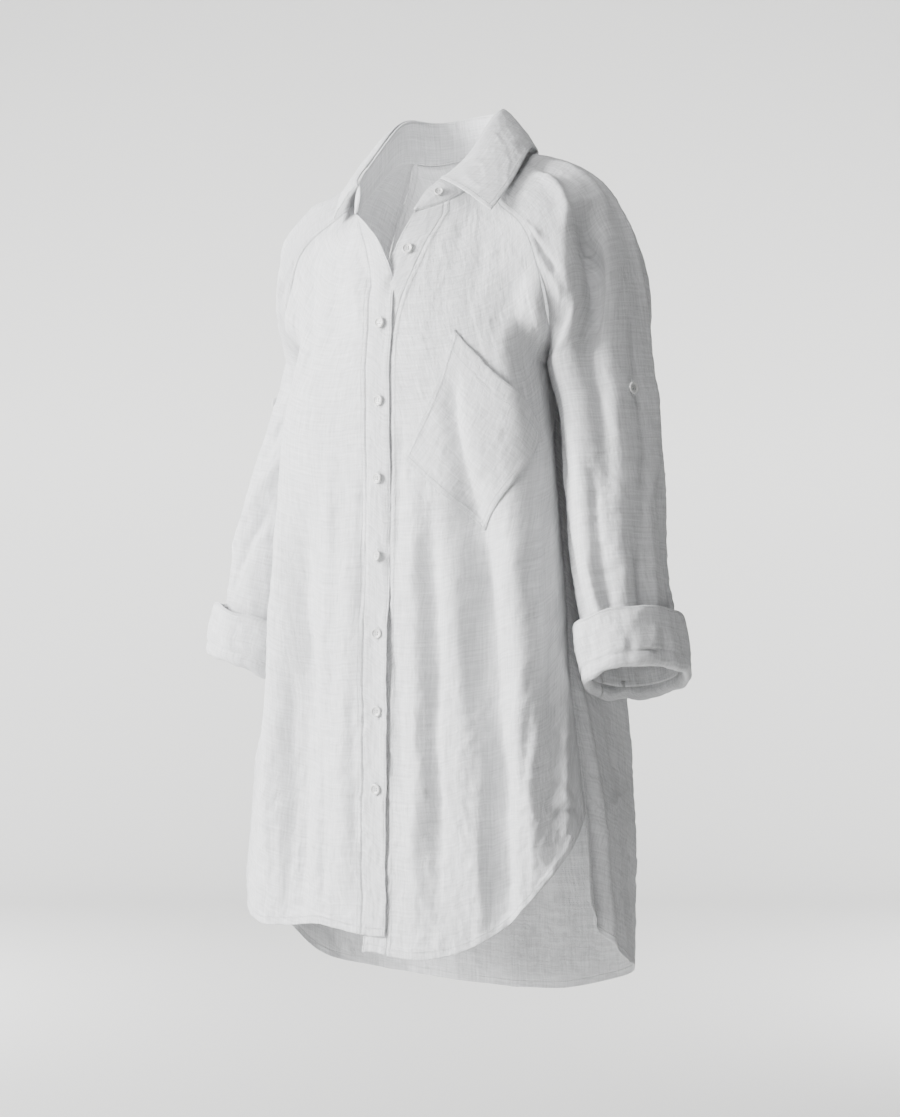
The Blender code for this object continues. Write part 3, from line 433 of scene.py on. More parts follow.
def seam_direction(q, side):
    """Unit direction in which the sleeve leaves the seam at row q; side is -1 in front, 1 behind."""
    row = sleeve_row(q, 41)
    step = row[1] - row[0] if side < 0 else row[-2] - row[-1]
    return step / np.linalg.norm(step)


def torso_row(part, q, count, z=None):
    """One row of the left half from the centre line to the seam, for part 'front' or 'back'."""
    side = -1 if part == "front" else 1
    if q <= 1:
        middle = np.array([0.0, spline(UPPER, part + "_y", q, "v"), spline(UPPER, part + "_z", q, "v")])
        reach = spline(UPPER, part + "_reach", q, "v")
        seam = point3(UPPER, part[0] + "seam_", q, "v")
        leave = seam_direction(q, side)
        low = np.array([LOWER[part + "_in_x"][-1], LOWER[part + "_in_y"][-1], 0.0])
        span = UPPER[part[0] + "seam_y"][-1] - UPPER[part + "_y"][-1]
        low = low * (seam[1] - middle[1]) / span
        size = 0.40 * np.linalg.norm(seam - middle)
        turn = min(1.0, max(0.0, (q - 0.45) / 0.38)) ** 1.5
        handle = -leave * size * (1 - turn) + low * turn
        rise = (seam[2] - middle[2]) * 0.25
        return bezier((middle, middle + [reach, 0, max(rise, 0) * 0.2], seam + handle, seam), count)
    values = {name: spline(LOWER, name, z, "z") for name in LOWER if name != "z"}
    middle = np.array([0.0, values[part + "_y"], z])
    seam = np.array([values["side_x"], values["side_y"], z])
    handle = np.array([values[part + "_in_x"], values[part + "_in_y"], 0.0])
    return bezier((middle, middle + [values[part + "_reach"], 0, 0], seam + handle, seam), count)


def normals_of(grid):
    """Outward unit normals of a grid of points, rows down, columns from the centre to the side."""
    down = np.gradient(grid, axis=0)
    along = np.gradient(grid, axis=1)
    out = np.cross(down, along)
    return out / np.maximum(np.linalg.norm(out, axis=2), 1e-12)[..., None]


def lengths(grid, axis):
    """Distance of each point from the first line of the grid, along that axis."""
    step = np.linalg.norm(np.diff(grid, axis=axis), axis=2)
    run = np.cumsum(step, axis=axis)
    first = np.zeros_like(run[:1]) if axis == 0 else np.zeros_like(run[:, :1])
    return np.concatenate([first, run], axis=axis)


@functools.lru_cache(maxsize=None)
def noise_table(seed):
    angle = np.random.default_rng(seed).random((64, 64)) * 2 * math.pi
    return np.cos(angle), np.sin(angle)


def noise(x, y, seed):
    """Smooth noise from about -1 to 1, one bump to a unit."""
    gx, gy = noise_table(seed)
    i, j = np.floor(x).astype(int), np.floor(y).astype(int)
    u, v = x - i, y - j
    total = 0
    su, sv = soft(u), soft(v)
    for di in (0, 1):
        for dj in (0, 1):
            at = ((i + di) % 64, (j + dj) % 64)
            dot = gx[at] * (u - di) + gy[at] * (v - dj)
            total = total + dot * (su if di else 1 - su) * (sv if dj else 1 - sv)
    return total * 1.6


def crumple(a, b, seed, size=0.030, stretch=1.7):
    """Fine uneven creasing of washed linen: narrow ridges of many sizes, in metres across and along."""
    warp = noise(a / 0.045, b / 0.06, seed + 7) * 0.5
    warp_b = noise(a / 0.05, b / 0.05, seed + 8) * 0.5
    total, share = 0, 1.0
    for octave in range(4):
        scale = size / 1.9 ** octave
        n = noise(a / scale + warp + 5 * octave, b / scale / stretch + warp_b, seed + octave)
        ridge = 1 - np.minimum(1, np.abs(n) * 2.4)
        total = total + share * (ridge ** 1.7 - 0.25 + 0.5 * n)
        share *= 0.55
    return total


def creases(a, b, table, unit_a=1.0, unit_b=1.0):
    """Height of listed soft creases at points given by their place across and along."""
    height = np.zeros_like(a)
    wander = noise(a / 0.05, b / 0.07, 91) * 0.0035
    for row in table:
        c = dict(zip(CREASE_COLUMNS, row))
        x0, y0 = c["from_a"] * unit_a, c["from_b"] * unit_b
        dx, dy = c["to_a"] * unit_a - x0, c["to_b"] * unit_b - y0
        size = math.hypot(dx, dy)
        t = ((a - x0) * dx + (b - y0) * dy) / size ** 2
        off = ((a - x0) * dy - (b - y0) * dx) / size
        inside = np.clip(t, 0, 1)
        off = off - c["bow"] * 4 * inside * (1 - inside) + wander
        beyond = (t - inside) * size
        taper = soft(inside / 0.28 + 0.12) * soft((1 - inside) / 0.28 + 0.12)
        taper = taper * np.exp(-((beyond / 0.016) ** 2))
        swell = 1 + 0.35 * noise(b / 0.08, a / 0.3 + c["from_a"] * 37, 55)
        width = c["width"] * np.where(off > 0, 1 + c["skew"], 1 - c["skew"]) * swell
        height = height + c["depth"] * taper * np.exp(-np.abs(off / width) ** 1.8)
    return height


def hem_heights(part, hem, columns):
    shares = np.linspace(0, 1, columns)
    return spline(hem, "z", shares if part == "front" else 1 - shares, "share")


def near_edge_shares(count, marks, size):
    """Shares from 0 to 1 with extra lines at the marks, in metres from the end, on a length of size."""
    marks = np.array(marks) / size
    return np.concatenate([np.linspace(0, 1 - marks.max(), count), 1 - np.sort(marks)[::-1][1:], [1.0]])


HEM_MARKS = (0.0012, 0.0045, 0.0078, 0.0092, 0.012)


def bridged(grid):
    """Carries the front smoothly over the hollow beside the armpit."""
    count = grid.shape[1]
    moved = grid.copy()
    for j in range(count):
        share = j / (count - 1)
        weight = soft(share / BRIDGE["grow"]) * soft((BRIDGE["end"] - share) / BRIDGE["fade"])
        line = grid[:, j]
        a = int((line[:, 2] >= BRIDGE["from_z"]).sum()) - 1
        b = int((line[:, 2] > BRIDGE["to_z"]).sum())
        if a < 1 or b > len(line) - 2:
            continue
        t = ((line[a : b + 1, 2] - line[a, 2]) / (line[b, 2] - line[a, 2]))[:, None]
        size = line[b, 2] - line[a, 2]
        leave = (line[a] - line[a - 1]) / (line[a, 2] - line[a - 1, 2]) * size
        reach = (line[b + 1] - line[b]) / (line[b + 1, 2] - line[b, 2]) * size
        path = line[a] * (1 - t) ** 2 * (1 + 2 * t) + leave * t * (1 - t) ** 2
        path = path + line[b] * t * t * (3 - 2 * t) + reach * t * t * (t - 1)
        moved[a : b + 1, j] += weight * (path - line[a : b + 1])
    return moved


def torso_grid(part, columns, upper_rows, lower_rows, hem):
    """Grid of the left half: rows from the neck to the hem, columns from the centre to the seam."""
    rows = [torso_row(part, q, columns) for q in np.linspace(0, 1, upper_rows)]
    ends = hem_heights(part, hem, columns)
    heights = np.linspace(ARM_Z, LOWER["z"][0], 61)
    rings = np.array([torso_row(part, 2, columns, z) for z in heights])
    for level in near_edge_shares(lower_rows + 1, HEM_MARKS, 0.60)[1:]:
        at = ARM_Z + level * (ends - ARM_Z)
        place = np.clip((heights[0] - at) / (heights[0] - heights[1]), 0, 59.999)
        i = place.astype(int)
        t = (place - i)[:, None]
        j = np.arange(columns)
        rows.append(rings[i, j] * (1 - t) + rings[i + 1, j] * t)
    return bridged(np.array(rows)) if part == "front" else np.array(rows)


def seam_pucker(z, away):
    """Height of the small puckers beside a seam, at a distance away from it."""
    return noise(z / 0.014, z * 0 + 3.3, 17) * np.exp(-((away / 0.014) ** 2)) * 0.0007


def drape_torso(grid, part, table, seed, deep, rough):
    """Lays the large folds, the creases and the fine creasing on a half grid."""
    across = lengths(grid, 1)
    down = lengths(grid, 0)
    z = grid[..., 2]
    shares = np.linspace(0, 1, grid.shape[1])[None, :] * np.ones((len(grid), 1))
    out = normals_of(grid)
    place = shares if part == "front" else 1 - shares
    height = np.zeros_like(z)
    for fold in FRONT_FOLDS if part == "front" else BACK_FOLDS:
        grow = soft((fold["from_z"] - z) / 0.30)
        height += 0.45 * fold["depth"] * grow * np.exp(-(((place - fold["share"]) / fold["width"]) ** 2))
    height += deep * creases(across, z, table)
    lower = soft((-0.30 - z) / 0.45)
    amount = rough * (0.00022 + 0.00030 * lower)
    height += amount * crumple(across, z, seed, CRUMPLE_SIZE, CRUMPLE_STRETCH)
    hem = down[-1:] - down
    height += 0.0008 * np.exp(-((hem / 0.012) ** 2)) * noise(across / 0.016, z * 0 + seed, seed + 3)
    to_seam = across[:, -1:] - across
    fade = soft(to_seam / 0.022)
    pucker = seam_pucker(z, to_seam)
    near_neck = soft(down / 0.020)
    return grid + out * ((height * fade + pucker) * near_neck)[..., None]


def share_at(line, x):
    """Signed share of a row at which it is x from the centre line."""
    near = line[: len(line) // 2, 0]
    return math.copysign(np.interp(abs(x), near, np.arange(len(near))) / (len(line) - 1), x)


def along_row(line, shares):
    """Points of a half row at signed shares; a negative share is mirrored in X."""
    at = np.abs(shares) * (len(line) - 1)
    found = np.stack([np.interp(at, np.arange(len(line)), line[:, k]) for k in range(3)], -1)
    found[:, 0] *= np.where(shares < 0, -1, 1)
    return found


EDGE_MARKS = (0.0010, 0.0026, 0.0050, 0.0068)


def eased(count, size):
    """Shares across a strip of that width, with extra lines near both its edges."""
    marks = np.array(EDGE_MARKS) / size * min(1.0, size / 0.024)
    middle = np.linspace(marks[-1], 1 - marks[-1], count + 2)[1:-1]
    return np.concatenate([[0], marks, middle, 1 - marks[::-1], [1]])


def front_strip(grid, columns, edges, right):
    """Points of one front piece. edges gives, by height, the two limits across from the centre."""
    strip = []
    for line in grid:
        z = line[0, 2]
        first = share_at(line, edges[0](z))
        last = 1.0 if edges[1] is None else share_at(line, edges[1](z))
        run = np.linalg.norm(np.diff(line, axis=0), axis=1).sum()
        ease = eased(columns, max(0.010, (last - first) * run))
        strip.append(along_row(line, first + (last - first) * ease))
    strip = np.array(strip)
    if right:
        strip = lap(strip)
        strip[..., 0] *= -1
        strip = strip[:, ::-1]
    return strip


def lap(strip):
    """Lifts the right front over the left one near the centre and turns its top out."""
    x, z = strip[..., 0], strip[..., 2]
    lift = BAND_LIFT * (1 - soft((x - LAPEL_FLAT["from_x"]) / LAPEL_FLAT["over"]))
    free = spline(NECK_EDGE, "right_x", z, "z")
    open_part = soft((z - LAPEL["turn_from_z"]) / LAPEL["turn_over"])
    reach = np.clip(1 - (x - free) / LAPEL["reach"], 0, 1.2) ** 2
    strip = strip.copy()
    strip[..., 1] -= lift + LAPEL["forward"] * open_part * reach
    strip[..., 0] += LAPEL["across"] * open_part * reach
    return strip


def left_free(z):
    return float(spline(NECK_EDGE, "left_x", z, "z"))


def left_seam(z):
    return left_free(z) + BAND_WIDTH


def right_free(z):
    return float(spline(NECK_EDGE, "right_x", z, "z")) + 0.0007 * math.sin(z * 41) + 0.0004 * math.sin(z * 97)


def right_seam(z):
    return right_free(z) + BAND_WIDTH


def open_collar(points):
    """Opens the right side of the neck outwards, on every piece that reaches it."""
    x, y, z = points[..., 0], points[..., 1], points[..., 2]
    high = np.clip((z + 0.13) / 0.07, 0, 1)
    side = np.clip((-x - 0.02) / 0.03, 0, 1) * np.exp(-(np.clip(-x - 0.08, 0, None) / 0.02) ** 2)
    moved = points.copy()
    for place in (NECK_PINCH, NECK_FLARE):
        moved[..., 0] += high * side * place["by"] * np.exp(-(((y - place["y"]) / place["width"]) ** 2))
    return moved


def mirrored(grid):
    """The same grid on the wearer's right, still facing outwards."""
    flipped = grid[:, ::-1].copy()
    flipped[..., 0] *= -1
    return flipped


def borders(grid, wrap=False):
    """Distances of each point from the four edges of a grid: first and last column, top and bottom."""
    across, down = lengths(grid, 1), lengths(grid, 0)
    far = across * 0 + 1.0
    first, last = (far, far) if wrap else (across, across[:, -1:] - across)
    return first, last, down, down[-1:] - down


def turned(grid, sides, thick=0.0004):
    """Raises the turned or felled strip along the named edges, and rounds each named edge over."""
    first, last, top, bottom = borders(grid)
    height = np.zeros_like(first)
    for edge, (name, width) in zip((first, last, top, bottom), sides):
        if name == "hem":
            height += thick * soft((width + 0.001 - edge) / 0.002) - 0.0005 * np.exp(-((edge / 0.0012) ** 2))
        if name == "fell":
            height += thick * soft((width + 0.001 - edge) / 0.002) - 0.0009 * np.exp(-((edge / 0.0011) ** 2))
        if name == "seam":
            height -= 0.0003 * np.exp(-((edge / 0.0011) ** 2))
    return grid + normals_of(grid) * height[..., None]


UPPER_ROWS, LOWER_ROWS = 72, 190
FRONT_COLUMNS, BACK_COLUMNS, SLEEVE_COLUMNS = 108, 84, 96
SLEEVE_UPPER, SLEEVE_LOWER = 84, 132
HEMS = {
    "front_left": ("front", FRONT_HEM, LEFT_CREASES, 3),
    "front_right": ("front", FRONT_HEM_RIGHT, RIGHT_CREASES, 11),
    "back_left": ("back", BACK_HEM, BACK_CREASES, 23),
    "back_right": ("back", BACK_HEM_RIGHT, BACK_CREASES, 31),
}


@functools.lru_cache(maxsize=None)
def half(name, deep, rough):
    """One draped half of the body."""
    part, hem, table, seed = HEMS[name]
    columns = FRONT_COLUMNS if part == "front" else BACK_COLUMNS
    grid = torso_grid(part, columns, UPPER_ROWS, LOWER_ROWS, hem)
    return drape_torso(grid, part, table, seed, deep, rough)


@functools.lru_cache(maxsize=None)
def sleeve(side, deep, rough):
    """One draped sleeve, as worn on the left: the open part above the armpit, then the tube."""
    levels = np.concatenate([np.linspace(0, 1, SLEEVE_UPPER), np.linspace(1, 2, SLEEVE_LOWER)[1:]])
    grid = np.array([sleeve_row(q, SLEEVE_COLUMNS) for q in levels])
    share = np.linspace(-1, 1, SLEEVE_COLUMNS)[None, :] * np.ones((len(grid), 1))
    q = levels[:, None] * np.ones_like(share)
    a, b = share * ARM_AROUND, q * ARM_ALONG
    out = normals_of(grid)
    wrapped = np.concatenate([grid[:, -2:-1], grid, grid[:, 1:2]], 1)
    out[SLEEVE_UPPER:] = normals_of(wrapped)[SLEEVE_UPPER:, 1:-1]
    tables = {"left": SLEEVE_CREASES, "right": RIGHT_SLEEVE_CREASES}
    height = deep * creases(a, b, tables[side], ARM_AROUND, ARM_ALONG)
    tight = np.exp(-(((q - 2.0) / 0.22) ** 2))
    height += deep * tight * 0.0016 * noise(a / 0.016, b / 0.10, 5 if side == "left" else 15)
    amount = rough * (0.00022 + 0.00022 * soft((q - 0.8) / 1.0))
    around = np.abs(share)
    real = share * lengths(grid, 1)[:, -1:] / 2
    fine = crumple(real, b, 41 if side == "left" else 47, CRUMPLE_SIZE, CRUMPLE_STRETCH)
    height += amount * fine * soft((1 - around) / 0.08)
    seam = (1 - around) * ARM_AROUND
    open_part = soft((1.06 - q) / 0.08)
    fade = 1 - open_part * (1 - soft(seam / 0.020))
    pucker = seam_pucker(grid[..., 2], seam) * open_part
    near_neck = soft(q / 0.06)
    cuff_end = 1 - 0.5 * soft((q - 1.94) / 0.06)
    return grid + out * ((height * fade + pucker) * near_neck * cuff_end)[..., None]


def grid_faces(rows, columns, wrap=False):
    """Quads of a grid; with wrap, the last column joins the first."""
    span = columns if wrap else columns - 1
    i, j = np.meshgrid(np.arange(rows - 1), np.arange(span), indexing="ij")
    a, b = i * columns + j, i * columns + (j + 1) % columns
    return np.stack([a, a + columns, b + columns, b], -1).reshape(-1, 4)


def surface_normals(points, faces):
    out = np.zeros_like(points)
    quads = points[faces]
    cross = np.cross(quads[:, 2] - quads[:, 0], quads[:, 3] - quads[:, 1])
    for k in range(4):
        np.add.at(out, faces[:, k], cross)
    return out / np.maximum(np.linalg.norm(out, axis=1), 1e-12)[:, None]


def smooth_object(name, points, faces, material):
    mesh = bpy.data.meshes.new(name)
    mesh.from_pydata(points, [], faces)
    mesh.polygons.foreach_set("use_smooth", np.ones(len(faces), bool))
    mesh.materials.append(material)
    mesh.update()
    made = bpy.data.objects.new(name, mesh)
    bpy.context.scene.collection.objects.link(made)
    return made


def claim(made, node):
    """Rides the piece on the shirt's one body, in place of the solid it shows."""
    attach(made, "root")
    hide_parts(node)
    return made


def shell(name, points, faces, maps, material, wall=WALL):
    """A closed cloth wall from its outer surface. maps holds named pairs of values for each point."""
    normals = surface_normals(points, faces)
    count = len(points)
    both = np.concatenate([points, points - normals * wall])
    edges = np.concatenate([faces[:, [k, (k + 1) % 4]] for k in range(4)])
    key = edges[:, 0] * count + edges[:, 1]
    back = edges[:, 1] * count + edges[:, 0]
    rim = edges[~np.isin(key, back)]
    rims = np.stack([rim[:, 1], rim[:, 0], count + rim[:, 0], count + rim[:, 1]], -1)
    quads = np.concatenate([faces, count + faces[:, ::-1], rims])
    made = smooth_object(name, both.tolist(), quads.tolist(), material)
    loops = quads.reshape(-1)
    for label, values in maps.items():
        layer = made.data.uv_layers.new(name=label)
        doubled = np.concatenate([values, values]).astype(np.float32)
        layer.data.foreach_set("uv", doubled[loops].reshape(-1))
    return made


def panel(name, grid, material, node, wrap=False, wall=WALL):
    """A cloth piece from a grid, with its weave, side and end distances as UV maps."""
    rows, columns = grid.shape[:2]
    first, last, top, bottom = borders(grid, wrap)
    across, down = lengths(grid, 1), lengths(grid, 0)
    middle = across[:, columns // 2][:, None]
    weave = np.stack([across - middle, down], -1)
    maps = {
        "weave": weave.reshape(-1, 2),
        "sides": np.stack([first, last], -1).reshape(-1, 2),
        "ends": np.stack([top, bottom], -1).reshape(-1, 2),
    }
    made = shell(name, grid.reshape(-1, 3), grid_faces(rows, columns, wrap), maps, material, wall)
    return claim(made, node)


def tube_panel(name, grid, material, node, split):
    """A sleeve: open above row split, closed along the underarm below it."""
    rows, columns = grid.shape[:2]
    index = np.arange(rows * columns).reshape(rows, columns)
    index[split:, -1] = index[split:, 0]
    used = np.unique(index)
    number = np.zeros(rows * columns, int)
    number[used] = np.arange(len(used))
    index = number[index]
    faces = np.stack([index[:-1, :-1], index[1:, :-1], index[1:, 1:], index[:-1, 1:]], -1).reshape(-1, 4)
    first, last, top, bottom = borders(grid)
    across = np.linspace(-ARM_AROUND, ARM_AROUND, columns)[None, :] * np.ones((rows, 1))
    down = lengths(grid, 0)[:, columns // 2][:, None] * np.ones((1, columns))
    maps = {
        "weave": np.stack([across, down], -1).reshape(-1, 2)[used],
        "sides": np.stack([first, last], -1).reshape(-1, 2)[used],
        "ends": np.stack([top, bottom], -1).reshape(-1, 2)[used],
    }
    made = shell(name, grid.reshape(-1, 3)[used], faces, maps, material)
    return claim(made, node)


@functools.lru_cache(maxsize=None)
def body_strips(deep, rough):
    """Grids of the body pieces, before the neck is opened."""
    left_half, right_half = half("front_left", deep, rough), half("front_right", deep, rough)
    left = front_strip(left_half, 88, (left_seam, None), False)
    band = front_strip(left_half, 12, (left_free, left_seam), False)
    right = front_strip(right_half, 88, (right_seam, None), True)
    right_band = front_strip(right_half, 12, (right_free, right_seam), True)
    left_back = half("back_left", deep, rough)[:, ::-1]
    right_back = mirrored(half("back_right", deep, rough)[:, ::-1])
    whole = np.concatenate([left_back, right_back[:, 1:]], axis=1)
    return {
        "front_left": turned(left, (("fell", SEAM_TURN), ("seam", 0), ("", 0), ("hem", HEM_TURN))),
        "front_band_left": turned(band, (("", 0), ("seam", 0), ("", 0), ("hem", HEM_TURN))),
        "front_right": turned(right, (("seam", 0), ("fell", SEAM_TURN), ("", 0), ("hem", HEM_TURN))),
        "front_band_right": turned(right_band, (("seam", 0), ("", 0), ("", 0), ("hem", HEM_TURN))),
        "back": turned(whole, (("fell", SEAM_TURN), ("fell", SEAM_TURN), ("", 0), ("hem", HEM_TURN))),
    }


@functools.lru_cache(maxsize=None)
def neck_line():
    """The neck seam from the left front end round the back to the right front end."""
    halves = {name: torso_grid(part, 41, 11, 9, hem) for name, (part, hem, _, _) in HEMS.items()}
    top = np.array([sleeve_row(q, 25) for q in np.linspace(0, 1, 11)])
    left = front_strip(halves["front_left"], 16, (left_seam, None), False)[0]
    band = front_strip(halves["front_left"], 4, (left_free, left_seam), False)[0]
    right = front_strip(halves["front_right"], 16, (right_seam, None), True)[0]
    right_band = front_strip(halves["front_right"], 4, (right_free, right_seam), True)[0]
    far_back = mirrored(halves["back_right"][:, ::-1])
    back = np.concatenate([halves["back_left"][:, ::-1], far_back[:, 1:]], 1)[0]
    line = open_collar(np.concatenate([band, left, top[0], back, mirrored(top)[0], right, right_band]))
    line = even(line, np.linspace(0, 1, 97))
    for _ in range(6):
        line[1:-1] = (line[:-2] + 2 * line[1:-1] + line[2:]) / 4
    return line


def stand_grid(columns, rows):
    """Rows of the collar stand from its top edge down to the neck seam, seen from outside."""
    shares = np.linspace(0, 1, columns)
    base = even(neck_line(), shares)
    run = np.gradient(base, axis=0)
    out = np.stack([-run[:, 1], run[:, 0], np.zeros(columns)], -1)
    out /= np.linalg.norm(out, axis=1)[:, None]
    if (out * base).sum() < 0:
        out = -out
    height = spline(STAND, "height", shares, "share")[:, None]
    lean = spline(STAND, "lean", shares, "share")[:, None]
    grid = []
    for rise in np.linspace(1, 0, rows):
        belly = 0.0020 * np.sin(math.pi * rise)
        grid.append(base + np.array([0, 0, 1.0]) * height * rise + out * (belly - lean * height * rise))
    return np.array(grid), out


def fall_grid(columns, rows):
    """Rows of the collar fall from the fold at the top of the stand to its outer edge."""
    dense, out = stand_grid(97, 2)
    shares = eased(columns, 0.42)
    at = (FALL_START + (1 - 2 * FALL_START) * shares) * 96
    start = np.stack([np.interp(at, np.arange(97), dense[0][:, k]) for k in range(3)], -1)
    away = np.stack([np.interp(at, np.arange(97), out[:, k]) for k in range(3)], -1)
    edge = np.stack([spline(FALL, axis, shares, "share") for axis in ("x", "y", "z")], -1)
    up = np.array([0, 0, 1.0])
    start = start + up * FOLD_RISE + away * FOLD_OUT
    grid = np.empty((rows, len(shares), 3))
    for j in range(len(shares)):
        bend = start[j] + away[j] * 0.004 + up * 0.003
        fall = edge[j] + (start[j] - edge[j]) * 0.45 + away[j] * 0.004 + up * 0.004
        line = bezier((start[j], bend, fall, edge[j]), 160)
        grid[:, j] = even(line, eased(rows - 2 * len(EDGE_MARKS) - 2, 0.05))
    return grid


# The lapped seam of the cuff, at shares of half its round: sharp at edge, gone at end.
CUFF_LAP = {"edge": -0.33, "step": 0.03, "end": 0.06, "fade": 0.30, "rise": 0.0022}


def cuff_grid(side, columns, rough):
    """The turned-up cuff: down inside the sleeve's end, round the roll, up outside to the free edge."""
    steps = [(0.0, SLEEVE_END + 0.004, 0.0), (0.0, SLEEVE_END - 0.004, 0.0)]
    for turn in np.radians(np.linspace(190, 352, 13)):
        room = CUFF_ROOM / 2 + CUFF_ROOM / 2 * math.cos(turn) * 1.06
        steps.append((room, SLEEVE_END - 0.004 + CUFF_ROLL * math.sin(turn), 0.0))
    for share in np.linspace(0, 1, 30):
        z = SLEEVE_END + share * (CUFF_TOP - SLEEVE_END)
        steps.append((CUFF_ROOM + 0.0015 * math.sin(math.pi * share), z, share))
    angles = np.linspace(-math.pi, math.pi, columns, endpoint=False)
    rows = []
    for room, z, share in reversed(steps):
        centre, across, along = arm_section(z, room)
        rows.append(centre + across * np.cos(angles)[:, None] + along * np.sin(angles)[:, None])
    grid = np.array(rows)
    closed = np.concatenate([grid[:, -1:], grid, grid[:, :1]], 1)
    out = normals_of(closed)[:, 1:-1]
    a = (angles / math.pi)[None, :] * np.ones((len(grid), 1))
    outside = np.array([share for _, _, share in reversed(steps)])[:, None] * np.ones_like(a)
    b = np.clip(grid[..., 2] - SLEEVE_END, -0.012, None)
    height = creases(a * ARM_AROUND, b, CUFF_CREASES, ARM_AROUND)
    seed = 61 if side == "left" else 67
    height += 0.0020 * noise(np.cos(a * math.pi) * 2.6 + seed, np.sin(a * math.pi) * 2.6 + b / 0.04, seed)
    lap_over = soft((a - CUFF_LAP["edge"]) / CUFF_LAP["step"])
    height += CUFF_LAP["rise"] * lap_over * soft((CUFF_LAP["end"] - a) / CUFF_LAP["fade"])
    height += rough * 0.0004 * crumple(np.abs(a) * ARM_AROUND, b, seed, 0.020)
    keep = soft(outside / 0.1) * (1 - 0.7 * soft((outside - 0.9) / 0.1)) + 0.5 * (outside == 0)
    lip = 0.0030 * np.exp(-(((a + 0.12) / 0.10) ** 2)) * soft((outside - 0.5) / 0.5)
    grid = grid + out * (height * keep + lip)[..., None]
    grid[..., 2] += 0.0045 * noise(np.cos(a * math.pi) * 1.4, np.sin(a * math.pi) * 1.4, seed) * soft(outside)
    uneven = noise(np.cos(a * math.pi) * 2.4, np.sin(a * math.pi) * 2.4, seed + 5)
    grid[..., 2] += 0.0032 * uneven * (outside == 0)
    return grid


def at_height(grid, share, z):
    """Point of a half grid at a share of its width and a height."""
    at = share * (grid.shape[1] - 1)
    j = min(int(at), grid.shape[1] - 2)
    line = grid[:, j] * (1 - at + j) + grid[:, j + 1] * (at - j)
    return np.array([np.interp(-z, -line[:, 2], line[:, k]) for k in range(3)])


def facing_at(grid, share, z):
    side = at_height(grid, share + 0.02, z) - at_height(grid, share - 0.02, z)
    down = at_height(grid, share, z - 0.006) - at_height(grid, share, z + 0.006)
    out = np.cross(down, side)
    return out / np.linalg.norm(out)


@functools.lru_cache(maxsize=None)
def pocket_grid(deep, rough):
    """The pocket, laid a little out from the left front between its four corners."""
    front = half("front_left", deep, rough)
    share, height = np.array(POCKET["share"]), np.array(POCKET["z"])
    steps = eased(50, 0.125)
    count = len(steps)
    grid = np.empty((count, count, 3))
    for i, down in enumerate(steps):
        for j, along in enumerate(steps):
            corners = ((1 - down) * (1 - along), (1 - down) * along, down * along, down * (1 - along))
            weights = np.array(corners)
            level = float(weights @ height) - POCKET_SAG * math.sin(math.pi * along) * (1 - down)
            grid[i, j] = at_height(front, float(weights @ share), level)
    down, along = np.meshgrid(steps, steps, indexing="ij")
    out = normals_of(grid)
    swell = POCKET_SWELL * np.sin(math.pi * along) * np.cos(math.pi / 2 * down) ** 2
    lift = WALL + POCKET_GAP + swell
    return grid + out * lift[..., None]


def ring_mesh(name, centre, out, profile, count, material):
    """A round turned piece, standing on centre and facing out, from a profile of radius and rise."""
    out = np.asarray(out, float) / np.linalg.norm(out)
    side = np.cross(out, [0.0, 0.0, 1.0])
    side /= np.linalg.norm(side)
    up = np.cross(side, out)
    angles = np.linspace(0, 2 * math.pi, count, endpoint=False)
    spokes = side * np.cos(angles)[:, None] + up * np.sin(angles)[:, None]
    points = np.concatenate([centre + spokes * radius + out * rise for radius, rise in profile])
    faces = grid_faces(len(profile), count, True).tolist()
    faces.append(tuple(range(count)))
    faces.append(tuple(reversed(range((len(profile) - 1) * count, len(profile) * count))))
    return smooth_object(name, points.tolist(), faces, material), side, up


def new_group(name, inputs, outputs, kind="ShaderNodeTree"):
    """An empty node group with named sockets: (name, socket type, default)."""
    tree = bpy.data.node_groups.new(name, kind)
    for label, socket_type, default in inputs:
        socket = tree.interface.new_socket(name=label, in_out="INPUT", socket_type=socket_type)
        if default is not None:
            socket.default_value = default
    for label, socket_type in outputs:
        tree.interface.new_socket(name=label, in_out="OUTPUT", socket_type=socket_type)
    return tree, tree.nodes.new("NodeGroupInput"), tree.nodes.new("NodeGroupOutput")


def maths(tree, operation, *values):
    """A Math node; each value is a number or a socket."""
    node = tree.nodes.new("ShaderNodeMath")
    node.operation = operation
    for socket, value in zip(node.inputs, values):
        if isinstance(value, (int, float)):
            socket.default_value = value
        else:
            tree.links.new(value, socket)
    return node.outputs[0]


def noise_socket(tree, vector, scale, stretch, detail=2.0, rough=0.5):
    """Noise of a stretched vector, from 0 to 1."""
    mapping = tree.nodes.new("ShaderNodeMapping")
    mapping.inputs["Scale"].default_value = (*stretch, 1.0)
    tree.links.new(vector, mapping.inputs["Vector"])
    node = tree.nodes.new("ShaderNodeTexNoise")
    node.inputs["Scale"].default_value = scale
    node.inputs["Detail"].default_value = detail
    node.inputs["Roughness"].default_value = rough
    tree.links.new(mapping.outputs[0], node.inputs["Vector"])
    return node.outputs["Fac"]


